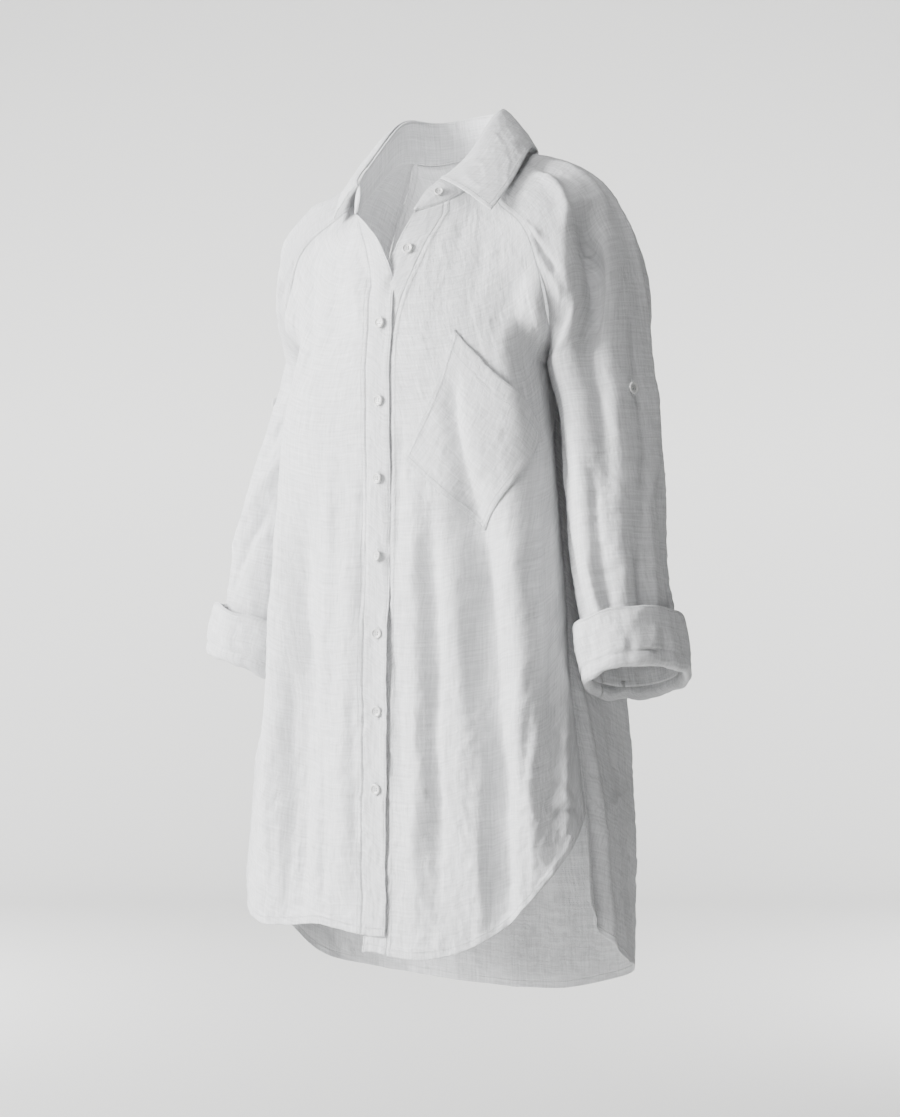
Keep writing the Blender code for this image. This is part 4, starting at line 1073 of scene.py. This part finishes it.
@functools.lru_cache(maxsize=None)
def groove_group():
    """A soft line at a distance from an edge: 1 on the line, 0 beside it."""
    sockets = (
        ("Distance", "NodeSocketFloat", 1.0),
        ("At", "NodeSocketFloat", 0.006),
        ("Half Width", "NodeSocketFloat", 0.0009),
    )
    tree, given, result = new_group("stitched_line", sockets, (("Line", "NodeSocketFloat"),))
    off = maths(tree, "ABSOLUTE", maths(tree, "SUBTRACT", given.outputs["Distance"], given.outputs["At"]))
    ramp = maths(tree, "SUBTRACT", 1.0, maths(tree, "DIVIDE", off, given.outputs["Half Width"]))
    clipped = maths(tree, "MAXIMUM", ramp, 0.0)
    tree.links.new(maths(tree, "SMOOTH_MIN", clipped, 1.0, 0.2), result.inputs["Line"])
    return tree


@functools.lru_cache(maxsize=None)
def weave_group():
    """Plain linen weave: crossing threads, slubs both ways and fine creasing."""
    sockets = (
        ("Vector", "NodeSocketVector", None),
        ("Thread", "NodeSocketFloat", 0.0006),
        ("Slub", "NodeSocketFloat", 0.5),
        ("Creasing", "NodeSocketFloat", 0.5),
    )
    outputs = tuple((label, "NodeSocketFloat") for label in ("Height", "Crease Height", "Shade"))
    tree, given, result = new_group("linen_weave", sockets, outputs)
    split = tree.nodes.new("ShaderNodeSeparateXYZ")
    tree.links.new(given.outputs["Vector"], split.inputs[0])
    u, v = (
        maths(tree, "MULTIPLY", maths(tree, "DIVIDE", split.outputs[k], given.outputs["Thread"]), math.pi)
        for k in range(2)
    )
    checker = maths(tree, "MULTIPLY", maths(tree, "SINE", u), maths(tree, "SINE", v))
    along = noise_socket(tree, given.outputs["Vector"], 1.0, (430.0, 26.0), 3.0, 0.65)
    cross = noise_socket(tree, given.outputs["Vector"], 1.0, (22.0, 430.0), 3.0, 0.65)
    slubs = maths(tree, "ADD", along, cross)
    threads = maths(tree, "MULTIPLY", checker, 0.22)
    height = maths(tree, "ADD", threads, maths(tree, "MULTIPLY", slubs, given.outputs["Slub"]))
    tree.links.new(height, result.inputs["Height"])
    wide = noise_socket(tree, given.outputs["Vector"], 1.0, (60.0, 34.0), 4.0, 0.55)
    thin = noise_socket(tree, given.outputs["Vector"], 1.0, (170.0, 90.0), 3.0, 0.6)
    ridge = maths(tree, "ABSOLUTE", maths(tree, "SUBTRACT", wide, 0.5))
    ridge_thin = maths(tree, "ABSOLUTE", maths(tree, "SUBTRACT", thin, 0.5))
    both = maths(tree, "ADD", ridge, maths(tree, "MULTIPLY", ridge_thin, 0.45))
    tree.links.new(maths(tree, "MULTIPLY", both, given.outputs["Creasing"]), result.inputs["Crease Height"])
    shade = maths(tree, "ADD", 0.34, maths(tree, "MULTIPLY", slubs, 0.66))
    tree.links.new(shade, result.inputs["Shade"])
    return tree


def use_group(tree, group, **values):
    node = tree.nodes.new("ShaderNodeGroup")
    node.node_tree = group
    for label, value in values.items():
        socket = node.inputs[label.replace("_", " ")]
        if isinstance(value, (int, float)):
            socket.default_value = value
        else:
            tree.links.new(value, socket)
    return node


# How far a sewn line darkens the cloth (painted shade of its sunk groove) and sinks into it, and the strength
# and depth of each relief.
SEWN_PAINTED_SHADE = 0.035
SEWN_RELIEF = 0.22
CREASE_BUMP = (0.9, 0.0030)
WEAVE_BUMP = (0.8, 0.0011)


def bump(tree, height, strength_and_depth):
    node = tree.nodes.new("ShaderNodeBump")
    node.inputs["Strength"].default_value, node.inputs["Distance"].default_value = strength_and_depth
    tree.links.new(height, node.inputs["Height"])
    return node


def linen(name, colour, lines, slub, creasing):
    """Linen for one piece. lines: (edge, distance) of its sewn lines."""
    material = bpy.data.materials.new(name)
    material.use_nodes = True
    tree = material.node_tree
    shader = tree.nodes["Principled BSDF"]
    uv = tree.nodes.new("ShaderNodeUVMap")
    uv.uv_map = "weave"
    cloth = use_group(tree, weave_group(), Vector=uv.outputs[0], Slub=slub, Creasing=creasing)
    split = {}
    for label in ("sides", "ends"):
        source = tree.nodes.new("ShaderNodeUVMap")
        source.uv_map = label
        parts = tree.nodes.new("ShaderNodeSeparateXYZ")
        tree.links.new(source.outputs[0], parts.inputs[0])
        split[label] = parts
    edges = {
        "first": split["sides"].outputs[0],
        "last": split["sides"].outputs[1],
        "top": split["ends"].outputs[0],
        "bottom": split["ends"].outputs[1],
    }
    sewn = None
    for edge, distance in lines:
        node = use_group(tree, groove_group(), Distance=edges[edge], At=distance)
        sewn = node.outputs[0] if sewn is None else maths(tree, "MAXIMUM", sewn, node.outputs[0])
    tint = tree.nodes.new("ShaderNodeMix")
    tint.data_type = "RGBA"
    tint.blend_type = "MULTIPLY"
    tint.inputs["Factor"].default_value = 1.0
    tint.inputs["A"].default_value = (*colour, 1)
    shade = cloth.outputs["Shade"]
    crease = cloth.outputs["Crease Height"]
    # Along every sewn line the colour is darkened: painted shade of the groove the stitching sinks into the
    # cloth.
    if sewn is not None:
        shade = maths(tree, "SUBTRACT", shade, maths(tree, "MULTIPLY", sewn, SEWN_PAINTED_SHADE))
        crease = maths(tree, "SUBTRACT", crease, maths(tree, "MULTIPLY", sewn, SEWN_RELIEF))
    grey = tree.nodes.new("ShaderNodeCombineColor")
    for channel in grey.inputs:
        tree.links.new(shade, channel)
    tree.links.new(grey.outputs[0], tint.inputs["B"])
    tree.links.new(tint.outputs["Result"], shader.inputs["Base Color"])
    wide = bump(tree, crease, CREASE_BUMP)
    fine = bump(tree, cloth.outputs["Height"], WEAVE_BUMP)
    tree.links.new(wide.outputs[0], fine.inputs["Normal"])
    tree.links.new(fine.outputs[0], shader.inputs["Normal"])
    shader.inputs["Roughness"].default_value = 0.92
    shader.inputs["Specular IOR Level"].default_value = 0.25
    shader.inputs["Sheen Weight"].default_value = 0.15
    shader.inputs["Sheen Roughness"].default_value = 0.5
    return material


def plain(name, colour, rough, coat=0.0):
    material = bpy.data.materials.new(name)
    material.use_nodes = True
    shader = material.node_tree.nodes["Principled BSDF"]
    shader.inputs["Base Color"].default_value = (*colour, 1)
    shader.inputs["Roughness"].default_value = rough
    shader.inputs["Coat Weight"].default_value = coat
    return material


@functools.lru_cache(maxsize=None)
def stitch_group():
    """Stitches along every path of a mesh of edges, each a small rounded thread lying along it."""
    sockets = (
        ("Geometry", "NodeSocketGeometry", None),
        ("Spacing", "NodeSocketFloat", 0.0030),
        ("Length", "NodeSocketFloat", 0.0022),
        ("Thread", "NodeSocketFloat", 0.00045),
        ("Seed", "NodeSocketInt", 1),
        ("Material", "NodeSocketMaterial", None),
    )
    outputs = (("Geometry", "NodeSocketGeometry"),)
    tree, given, result = new_group("stitches", sockets, outputs, "GeometryNodeTree")
    link = tree.links.new
    curve = tree.nodes.new("GeometryNodeMeshToCurve")
    link(given.outputs["Geometry"], curve.inputs[0])
    spaced = tree.nodes.new("GeometryNodeResampleCurve")
    spaced.mode = "LENGTH"
    link(curve.outputs[0], spaced.inputs["Curve"])
    link(given.outputs["Spacing"], spaced.inputs["Length"])
    ball = tree.nodes.new("GeometryNodeMeshIcoSphere")
    ball.inputs["Radius"].default_value = 0.5
    ball.inputs["Subdivisions"].default_value = 1
    tangent = tree.nodes.new("GeometryNodeInputTangent")
    lie = tree.nodes.new("FunctionNodeAlignRotationToVector")
    lie.axis = "X"
    link(tangent.outputs[0], lie.inputs["Vector"])
    vary = tree.nodes.new("FunctionNodeRandomValue")
    vary.data_type = "FLOAT"
    vary.inputs[2].default_value = 0.88
    vary.inputs[3].default_value = 1.08
    link(given.outputs["Seed"], vary.inputs["Seed"])
    size = tree.nodes.new("ShaderNodeCombineXYZ")
    link(maths(tree, "MULTIPLY", given.outputs["Length"], vary.outputs[1]), size.inputs[0])
    link(given.outputs["Thread"], size.inputs[1])
    link(given.outputs["Thread"], size.inputs[2])
    copies = tree.nodes.new("GeometryNodeInstanceOnPoints")
    link(spaced.outputs[0], copies.inputs["Points"])
    link(ball.outputs["Mesh"], copies.inputs["Instance"])
    link(lie.outputs[0], copies.inputs["Rotation"])
    link(size.outputs[0], copies.inputs["Scale"])
    real = tree.nodes.new("GeometryNodeRealizeInstances")
    link(copies.outputs[0], real.inputs[0])
    coat = tree.nodes.new("GeometryNodeSetMaterial")
    link(real.outputs[0], coat.inputs["Geometry"])
    link(given.outputs["Material"], coat.inputs["Material"])
    link(coat.outputs[0], result.inputs[0])
    return tree


def sew(name, paths, thread, spacing=0.0030, length=0.0022, width=0.00045, seed=1):
    """Stitches along the given paths, as one piece of real mesh."""
    points, edges = [], []
    for path in paths:
        edges += [(len(points) + i, len(points) + i + 1) for i in range(len(path) - 1)]
        points += [tuple(p) for p in path]
    guide = bpy.data.meshes.new(name)
    guide.from_pydata(points, edges, [])
    made = bpy.data.objects.new(name, guide)
    bpy.context.scene.collection.objects.link(made)
    modifier = made.modifiers.new("stitches", "NODES")
    modifier.node_group = stitch_group()
    values = {"Spacing": spacing, "Length": length, "Thread": width, "Seed": seed, "Material": thread}
    for item in modifier.node_group.interface.items_tree:
        if item.item_type == "SOCKET" and item.in_out == "INPUT" and item.name in values:
            modifier[item.identifier] = values[item.name]
    baked = bpy.data.meshes.new_from_object(made.evaluated_get(bpy.context.evaluated_depsgraph_get()))
    made.modifiers.clear()
    made.data = baked
    if not baked.materials:
        baked.materials.append(thread)
    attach(made, "root")
    return made


STITCH_LIFT = 0.0002


def insets(grid, lines, rows=None):
    return [inset(grid, edge, distance, rows) for edge, distance in lines]


def inset(grid, edge, distance, rows):
    """The line on a grid at a distance in from one of its edges, lifted a little out."""
    if edge in ("top", "bottom"):
        grid = np.transpose(grid, (1, 0, 2))[:, ::-1] if edge == "bottom" else np.transpose(grid, (1, 0, 2))
        out = normals_of(grid) * (1 if edge == "bottom" else -1)
    else:
        grid = grid[:, ::-1] if edge == "last" else grid
        out = normals_of(grid) * (-1 if edge == "last" else 1)
    run = lengths(grid, 1)
    path = []
    for i in range(*(rows or (0, len(grid)))):
        if run[i, -1] < distance:
            continue
        point = [np.interp(distance, run[i], grid[i, :, k]) for k in range(3)]
        away = [np.interp(distance, run[i], out[i, :, k]) for k in range(3)]
        path.append(np.array(point) + np.array(away) * STITCH_LIFT)
    return path


class ShirtSettings(bpy.types.PropertyGroup):
    cloth_colour: bpy.props.FloatVectorProperty(name="Cloth", subtype="COLOR", default=(0.74, 0.745, 0.755))
    thread_colour: bpy.props.FloatVectorProperty(name="Thread", subtype="COLOR", default=(0.80, 0.81, 0.82))
    button_colour: bpy.props.FloatVectorProperty(name="Buttons", subtype="COLOR", default=(0.66, 0.66, 0.65))
    fold_depth: bpy.props.FloatProperty(name="Fold depth", default=1.6, min=0.0, max=3.0)
    crumple: bpy.props.FloatProperty(name="Crumple", default=2.4, min=0.0, max=3.0)
    slub: bpy.props.FloatProperty(name="Slub", default=0.6, min=0.0, max=2.0)
    creasing: bpy.props.FloatProperty(name="Fine creasing", default=1.0, min=0.0, max=2.0)
    stitch_spacing: bpy.props.FloatProperty(name="Stitch spacing", default=0.0030, min=0.001, max=0.01)
    backdrop: bpy.props.FloatVectorProperty(name="Backdrop", subtype="COLOR", default=(0.78, 0.78, 0.77))


def settings():
    return bpy.context.scene.shirt


def feel():
    return settings().fold_depth, settings().crumple


def piece_linen(name, lines):
    s = settings()
    return linen("linen_" + name, tuple(s.cloth_colour), lines, s.slub, s.creasing)


FRONT_LINES = {
    "front_left": (("first", 0.0012), ("first", 0.0062), ("bottom", 0.0078)),
    "front_right": (("last", 0.0012), ("last", 0.0062), ("bottom", 0.0078)),
    "front_band_left": (("first", 0.0020), ("bottom", 0.0078)),
    "front_band_right": (("last", 0.0020), ("bottom", 0.0078)),
    "back": (("first", 0.0012), ("first", 0.0062), ("last", 0.0012), ("last", 0.0062), ("bottom", 0.0078)),
}
SLEEVE_LINES = (("first", 0.0012), ("first", 0.0060), ("last", 0.0012), ("last", 0.0060))
CUFF_LINES = (("top", 0.0020),)
STAND_LINES = (("top", 0.0020), ("bottom", 0.0020))
FALL_LINES = (("first", 0.0055), ("last", 0.0055), ("bottom", 0.0055))
POCKET_LINES = (
    ("first", 0.0014), ("first", 0.0060), ("last", 0.0014), ("last", 0.0060),
    ("bottom", 0.0014), ("bottom", 0.0060), ("top", 0.0014), ("top", 0.0180),
)


class SHIRT_OT_body(bpy.types.Operator):
    bl_idname = "shirt.body"
    bl_label = "Fronts, bands and back"

    def execute(self, context):
        for name, grid in body_strips(*feel()).items():
            panel(name + "_cloth", open_collar(grid), piece_linen(name, FRONT_LINES[name]), name)
        return {"FINISHED"}


class SHIRT_OT_sleeves(bpy.types.Operator):
    bl_idname = "shirt.sleeves"
    bl_label = "Raglan sleeves"

    def execute(self, context):
        for side in ("left", "right"):
            node = "sleeve_" + side
            look = piece_linen(node, SLEEVE_LINES)
            tube_panel(node + "_cloth", sleeve_piece(side), look, node, SLEEVE_UPPER)
        return {"FINISHED"}


@functools.lru_cache(maxsize=None)
def sleeve_piece(side):
    grid = sleeve(side, *feel())
    upper = turned(grid, (("fell", SEAM_TURN), ("fell", SEAM_TURN), ("", 0), ("", 0)))
    keep = soft((np.arange(len(grid)) - SLEEVE_UPPER + 6) / 6.0)[:, None, None]
    grid = upper * (1 - keep) + grid * keep
    return open_collar(grid if side == "left" else mirrored(grid))


@functools.lru_cache(maxsize=None)
def cuff_piece(side):
    grid = cuff_grid(side, 110, settings().crumple)
    return grid if side == "left" else mirrored(grid)


class SHIRT_OT_cuffs(bpy.types.Operator):
    bl_idname = "shirt.cuffs"
    bl_label = "Turned-up cuffs"

    def execute(self, context):
        for side in ("left", "right"):
            node = "cuff_" + side
            panel(node + "_cloth", cuff_piece(side), piece_linen(node, CUFF_LINES), node, wrap=True)
        return {"FINISHED"}


@functools.lru_cache(maxsize=None)
def collar_pieces():
    stand, _ = stand_grid(170, 18)
    a, b = lengths(stand, 1), lengths(stand, 0)
    stand = stand + normals_of(stand) * (0.0004 * crumple(a, b, 71, 0.02))[..., None]
    fall = fall_grid(190, 34)
    a, b = lengths(fall, 1), lengths(fall, 0)
    fall = fall + normals_of(fall) * (0.0006 * crumple(a, b, 77, 0.028) * soft(b / 0.01))[..., None]
    fall = turned(fall, (("hem", 0.0055), ("hem", 0.0055), ("", 0), ("hem", 0.0055)), 0.0003)
    return stand, fall


class SHIRT_OT_collar(bpy.types.Operator):
    bl_idname = "shirt.collar"
    bl_label = "Collar stand and fall"

    def execute(self, context):
        stand, fall = collar_pieces()
        look = piece_linen("collar_stand", STAND_LINES)
        panel("collar_stand_cloth", stand, look, "collar_stand", wall=0.0016)
        panel("collar_fall_cloth", fall, piece_linen("collar_fall", FALL_LINES), "collar_fall", wall=0.0014)
        return {"FINISHED"}


@functools.lru_cache(maxsize=None)
def pocket_piece():
    edges = (("hem", 0.006), ("hem", 0.006), ("hem", 0.018), ("hem", 0.006))
    return turned(pocket_grid(*feel()), edges, 0.0003)


class SHIRT_OT_pocket(bpy.types.Operator):
    bl_idname = "shirt.pocket"
    bl_label = "Slanted pocket"

    def execute(self, context):
        panel("pocket_cloth", pocket_piece(), piece_linen("pocket", POCKET_LINES), "pocket")
        return {"FINISHED"}


# The four holes of a button, each drawn as a flat dark disc of painted shade: radius and place in shares of
# its radius, level in shares of its height.
BUTTON_HOLE = {"radius": 0.13, "away": 0.20, "level": 0.63}
# A button's section from the back of the rim to its sunk middle, in shares of its radius and height.
BUTTON_PROFILE = (
    (0.70, 0.02), (0.90, 0.10), (0.985, 0.28), (1.0, 0.48), (0.985, 0.70), (0.94, 0.90), (0.87, 1.0),
    (0.78, 0.98), (0.70, 0.80), (0.62, 0.66), (0.40, 0.61), (0.15, 0.60),
)


@functools.lru_cache(maxsize=None)
def button_places():
    """Name, centre, facing and radius of every button."""
    left, right = half("front_left", *feel()), half("front_right", *feel())
    places = []
    stand, _ = stand_grid(97, 11)
    column, row = round(STAND_BUTTON["share"] * 96), round((1 - STAND_BUTTON["rise"]) * 10)
    down = stand[row + 1, column] - stand[row - 1, column]
    side = stand[row, column + 1] - stand[row, column - 1]
    out = np.cross(down, side)
    out /= np.linalg.norm(out)
    places.append(("button_01", stand[row, column] + out * 0.0004, out, BUTTON_RADIUS * 0.85))
    width = np.linalg.norm(np.diff(left[UPPER_ROWS - 1], axis=0), axis=1).sum()
    share = SECOND_BUTTON["x"] / width
    out = facing_at(left, share, SECOND_BUTTON["z"])
    point = at_height(left, share, SECOND_BUTTON["z"])
    places.append(("button_02", point + out * 0.0011, out, BUTTON_RADIUS))
    for k in range(7):
        z = BUTTON_TOP - BUTTON_SPACING * k
        out = facing_at(right, 0.05, z) * [-1, 1, 1]
        point = at_height(right, 0.0, z) + [0.004, -BAND_LIFT, 0.0]
        places.append((f"button_{k + 3:02d}", point + out * 0.0013, out, BUTTON_RADIUS))
    centre, across, along = arm_section(SLEEVE_BUTTON["z"])
    angle = math.radians(SLEEVE_BUTTON["angle"])
    for side, flip in (("left", 1), ("right", -1)):
        grid = sleeve(side, *feel())
        point = centre + across * math.cos(angle) + along * math.sin(angle)
        near = np.unravel_index(np.linalg.norm(grid - point, axis=2).argmin(), grid.shape[:2])
        out = across * math.cos(angle) / (across @ across) + along * math.sin(angle) / (along @ along)
        out = out / np.linalg.norm(out) * [flip, 1, 1]
        point = grid[near] * [flip, 1, 1] + out * 0.0024
        places.append(("sleeve_button_" + side, point, out, SLEEVE_BUTTON_RADIUS))
    return places


class SHIRT_OT_buttons(bpy.types.Operator):
    bl_idname = "shirt.buttons"
    bl_label = "Buttons"

    def execute(self, context):
        shell_look = plain("button_shell", tuple(settings().button_colour), 0.32, 0.3)
        hole_painted_shade = plain("button_hole", (0.12, 0.12, 0.12), 0.8)
        thread = plain("button_thread", tuple(settings().thread_colour), 0.8)
        for name, centre, out, radius in button_places():
            profile = [(share * radius, rise * BUTTON_HEIGHT) for share, rise in BUTTON_PROFILE]
            made, side, up = ring_mesh(name + "_shell", centre, out, profile, 40, shell_look)
            claim(made, name)
            hole = radius * BUTTON_HOLE["radius"]
            away = radius * BUTTON_HOLE["away"]
            level = BUTTON_HEIGHT * BUTTON_HOLE["level"]
            # Each hole is a thin dark disc on the button's face: painted shade standing in for the hole.
            for k, (x, y) in enumerate(((1, 1), (-1, 1), (-1, -1), (1, -1))):
                at = centre + (side * x + up * y) * away + out * level
                rim = ((hole, 0.0), (hole, 0.00006), (hole * 0.5, 0.00008))
                hole_shade_disc, _, _ = ring_mesh(f"{name}_eye_{k + 1}", at, out, rim, 10, hole_painted_shade)
                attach(hole_shade_disc, "root")
            paths = []
            for y in (-1, 1):
                start = centre + (-side + up * y) * away + out * (level + 0.0003)
                paths.append([start, start + side * away * 2])
            sew(name + "_thread", paths, thread, 0.0004, 0.0009, 0.0005)
        return {"FINISHED"}


class SHIRT_OT_stitches(bpy.types.Operator):
    bl_idname = "shirt.stitches"
    bl_label = "Stitches and buttonholes"

    def execute(self, context):
        thread = plain("sewing_thread", tuple(settings().thread_colour), 0.85)
        spacing = settings().stitch_spacing
        strips = {name: open_collar(grid) for name, grid in body_strips(*feel()).items()}
        for name, lines in FRONT_LINES.items():
            sew(name + "_stitches", insets(strips[name], lines), thread, spacing)
        for side in ("left", "right"):
            paths = insets(sleeve_piece(side), SLEEVE_LINES, (0, SLEEVE_UPPER))
            cuff = cuff_piece(side)
            paths += insets(np.concatenate([cuff, cuff[:, :1]], 1), CUFF_LINES)
            sew("sleeve_" + side + "_stitches", paths, thread, spacing)
        stand, fall = collar_pieces()
        sew("collar_stitches", insets(stand, STAND_LINES) + insets(fall, FALL_LINES), thread, spacing)
        sew("pocket_stitches", insets(pocket_piece(), POCKET_LINES), thread, spacing)
        self.buttonholes(thread)
        self.tab_boxes(thread, spacing)
        return {"FINISHED"}

    def tab_boxes(self, thread, spacing):
        """The box sewn round each sleeve button."""
        for name, centre, _, _ in button_places():
            if not name.startswith("sleeve_button"):
                continue
            grid = sleeve_piece(name.split("_")[-1])
            near = np.unravel_index(np.linalg.norm(grid - centre, axis=2).argmin(), grid.shape[:2])
            out = normals_of(grid)
            out = out * np.sign(out[near] @ (centre - grid[near]))
            rise = grid[:, near[1], 2] - centre[2]
            rows = np.flatnonzero((rise > -TAB_BOX["below"]) & (rise < TAB_BOX["above"]))
            paths = []
            for away in (-TAB_BOX["half_width"], TAB_BOX["half_width"]):
                path = []
                for i in rows:
                    run = run_along(grid[i])
                    line = grid[i] + out[i] * TAB_BOX["lift"]
                    path.append([np.interp(run[near[1]] + away, run, line[:, k]) for k in range(3)])
                paths.append(np.array(path))
            paths.append(np.linspace(paths[0][0], paths[1][0], 9))
            paths.append(np.linspace(paths[0][-1], paths[1][-1], 9))
            sew(name + "_box", paths, thread, spacing)

    def buttonholes(self, thread):
        """A ring of close stitches round an upright slit under every closed button."""
        rings = []
        for name, centre, out, radius in button_places():
            if name in ("button_01", "button_02"):
                continue
            up = np.array([0.0, 0.0, 1.0])
            up = up - out * (up @ out)
            up /= np.linalg.norm(up)
            side = np.cross(up, out)
            turn = np.linspace(0, 2 * math.pi, 41)
            x, y = np.cos(turn) * 0.0013, np.sin(turn) * 0.0016
            y = y + np.sign(np.sin(turn)) * (radius + 0.0006)
            ring = centre + side * x[:, None] + up * y[:, None] + out * 0.0002
            rings.append(list(ring))
        sew("buttonholes", rings, thread, 0.0008, 0.0014, 0.0006, 7)


CAMERA = {"distance": 2.7, "azimuth": 35.0, "height": -0.448, "lens": 80.57, "shift_y": 0.0058}
FLOOR_Z = -1.30
FLOOR_REACH = 6.0
FLOOR_BEND = 1.2
WALL_DISTANCE = 4.8
WALL_HEIGHT = 5.0
# A small lamp inside the neck, which lights the inside of the back through the opening.
NECK_FILL = {"place": (-0.01, -0.02, -0.16), "target": (0.0, 0.09, -0.05), "size": 0.10, "power": 0.45}


def add_lamp(name, place, target, size, power):
    """A square lamp at place, turned towards target."""
    lamp = bpy.data.lights.new(name, "AREA")
    lamp.size = size
    lamp.energy = power
    made = bpy.data.objects.new(name, lamp)
    made.location = place
    made.rotation_euler = direction_euler(np.asarray(target, float) - np.asarray(place, float))
    bpy.context.scene.collection.objects.link(made)
    return made


class SHIRT_OT_stage(bpy.types.Operator):
    bl_idname = "shirt.stage"
    bl_label = "Floor, light and camera"

    def execute(self, context):
        scene = context.scene
        az = math.radians(CAMERA["azimuth"])
        back = np.array([-math.sin(az), math.cos(az), 0.0])
        right = np.array([math.cos(az), math.sin(az), 0.0])
        self.sweep(back, right)
        camera = bpy.data.objects.new("camera", bpy.data.cameras.new("camera"))
        camera.data.lens = CAMERA["lens"]
        camera.data.shift_y = CAMERA["shift_y"]
        camera.location = (*(-back * CAMERA["distance"])[:2], CAMERA["height"])
        camera.rotation_euler = (math.pi / 2, 0, az)
        scene.collection.objects.link(camera)
        scene.camera = camera
        target = np.array([0, 0, -0.45])
        lamps = (
            ("key", -back * 0.8 - right * 2.4 + [0, 0, 0.75], 1.2, 262.0),
            ("front", -back * 2.9 - right * 0.7 + [0, 0, 0.7], 1.4, 9.0),
            ("top", -back * 0.7 - right * 0.2 + [0, 0, 1.9], 1.2, 26.0),
            ("far_side", back * 1.0 + right * 2.2 + [0, 0, 0.4], 1.4, 3.0),
        )
        for name, place, size, power in lamps:
            add_lamp(name, target + place, target, size, power)
        fill = add_lamp("neck_fill", **NECK_FILL)
        fill.visible_camera = False
        for name, side in (("wall_left", -1.0), ("wall_right", 1.0)):
            place = back * 1.9 + right * side * 2.3 + [0, 0, -0.3]
            aim = back * WALL_DISTANCE - right * side * 0.2 + [0, 0, -0.3]
            add_lamp(name, place, aim, 1.2, 150.0)
        world = bpy.data.worlds.new("studio")
        world.use_nodes = True
        world.node_tree.nodes["Background"].inputs["Color"].default_value = (0.86, 0.87, 0.89, 1)
        world.node_tree.nodes["Background"].inputs["Strength"].default_value = 0.12
        scene.world = world
        return {"FINISHED"}

    def sweep(self, back, right):
        """A pale floor that curves up into a wall behind the shirt."""
        points, faces = [], []
        start = WALL_DISTANCE - FLOOR_BEND
        profile = [(-FLOOR_REACH, 0.0), (start, 0.0)]
        for turn in np.linspace(0, math.pi / 2, 17)[1:]:
            profile.append((start + FLOOR_BEND * math.sin(turn), FLOOR_BEND * (1 - math.cos(turn))))
        profile.append((WALL_DISTANCE, WALL_HEIGHT))
        for depth, rise in profile:
            for across in (-FLOOR_REACH, FLOOR_REACH):
                points.append(tuple(back * depth + right * across + [0, 0, FLOOR_Z + rise]))
        for i in range(len(profile) - 1):
            faces.append((2 * i, 2 * i + 1, 2 * i + 3, 2 * i + 2))
        paint = plain("floor_paint", tuple(settings().backdrop), 0.95)
        smooth_object("floor", points, faces, paint)


def direction_euler(aim):
    """Rotation that points a lamp's -Z along aim."""
    aim = np.asarray(aim, float)
    flat = math.hypot(aim[0], aim[1])
    return (math.atan2(flat, -aim[2]), 0.0, math.atan2(-aim[0], aim[1]) if flat > 1e-6 else 0.0)


class SHIRT_PT_panel(bpy.types.Panel):
    bl_label = "Shirt"
    bl_space_type = "VIEW_3D"
    bl_region_type = "UI"
    bl_category = "Shirt"

    def draw(self, context):
        for name in ShirtSettings.__annotations__:
            self.layout.prop(context.scene.shirt, name)
        for step in STEPS:
            self.layout.operator("shirt." + step)


STEPS = ("body", "sleeves", "cuffs", "collar", "pocket", "buttons", "stitches", "stage")
CLASSES = (
    ShirtSettings, SHIRT_OT_body, SHIRT_OT_sleeves, SHIRT_OT_cuffs, SHIRT_OT_collar, SHIRT_OT_pocket,
    SHIRT_OT_buttons, SHIRT_OT_stitches, SHIRT_OT_stage, SHIRT_PT_panel,
)


def register():
    for item in CLASSES:
        bpy.utils.register_class(item)
    bpy.types.Scene.shirt = bpy.props.PointerProperty(type=ShirtSettings)


def unregister():
    del bpy.types.Scene.shirt
    for item in reversed(CLASSES):
        bpy.utils.unregister_class(item)


def main():
    register()
    for step in STEPS:
        getattr(bpy.ops.shirt, step)()


if __name__ == "__main__":
    main()
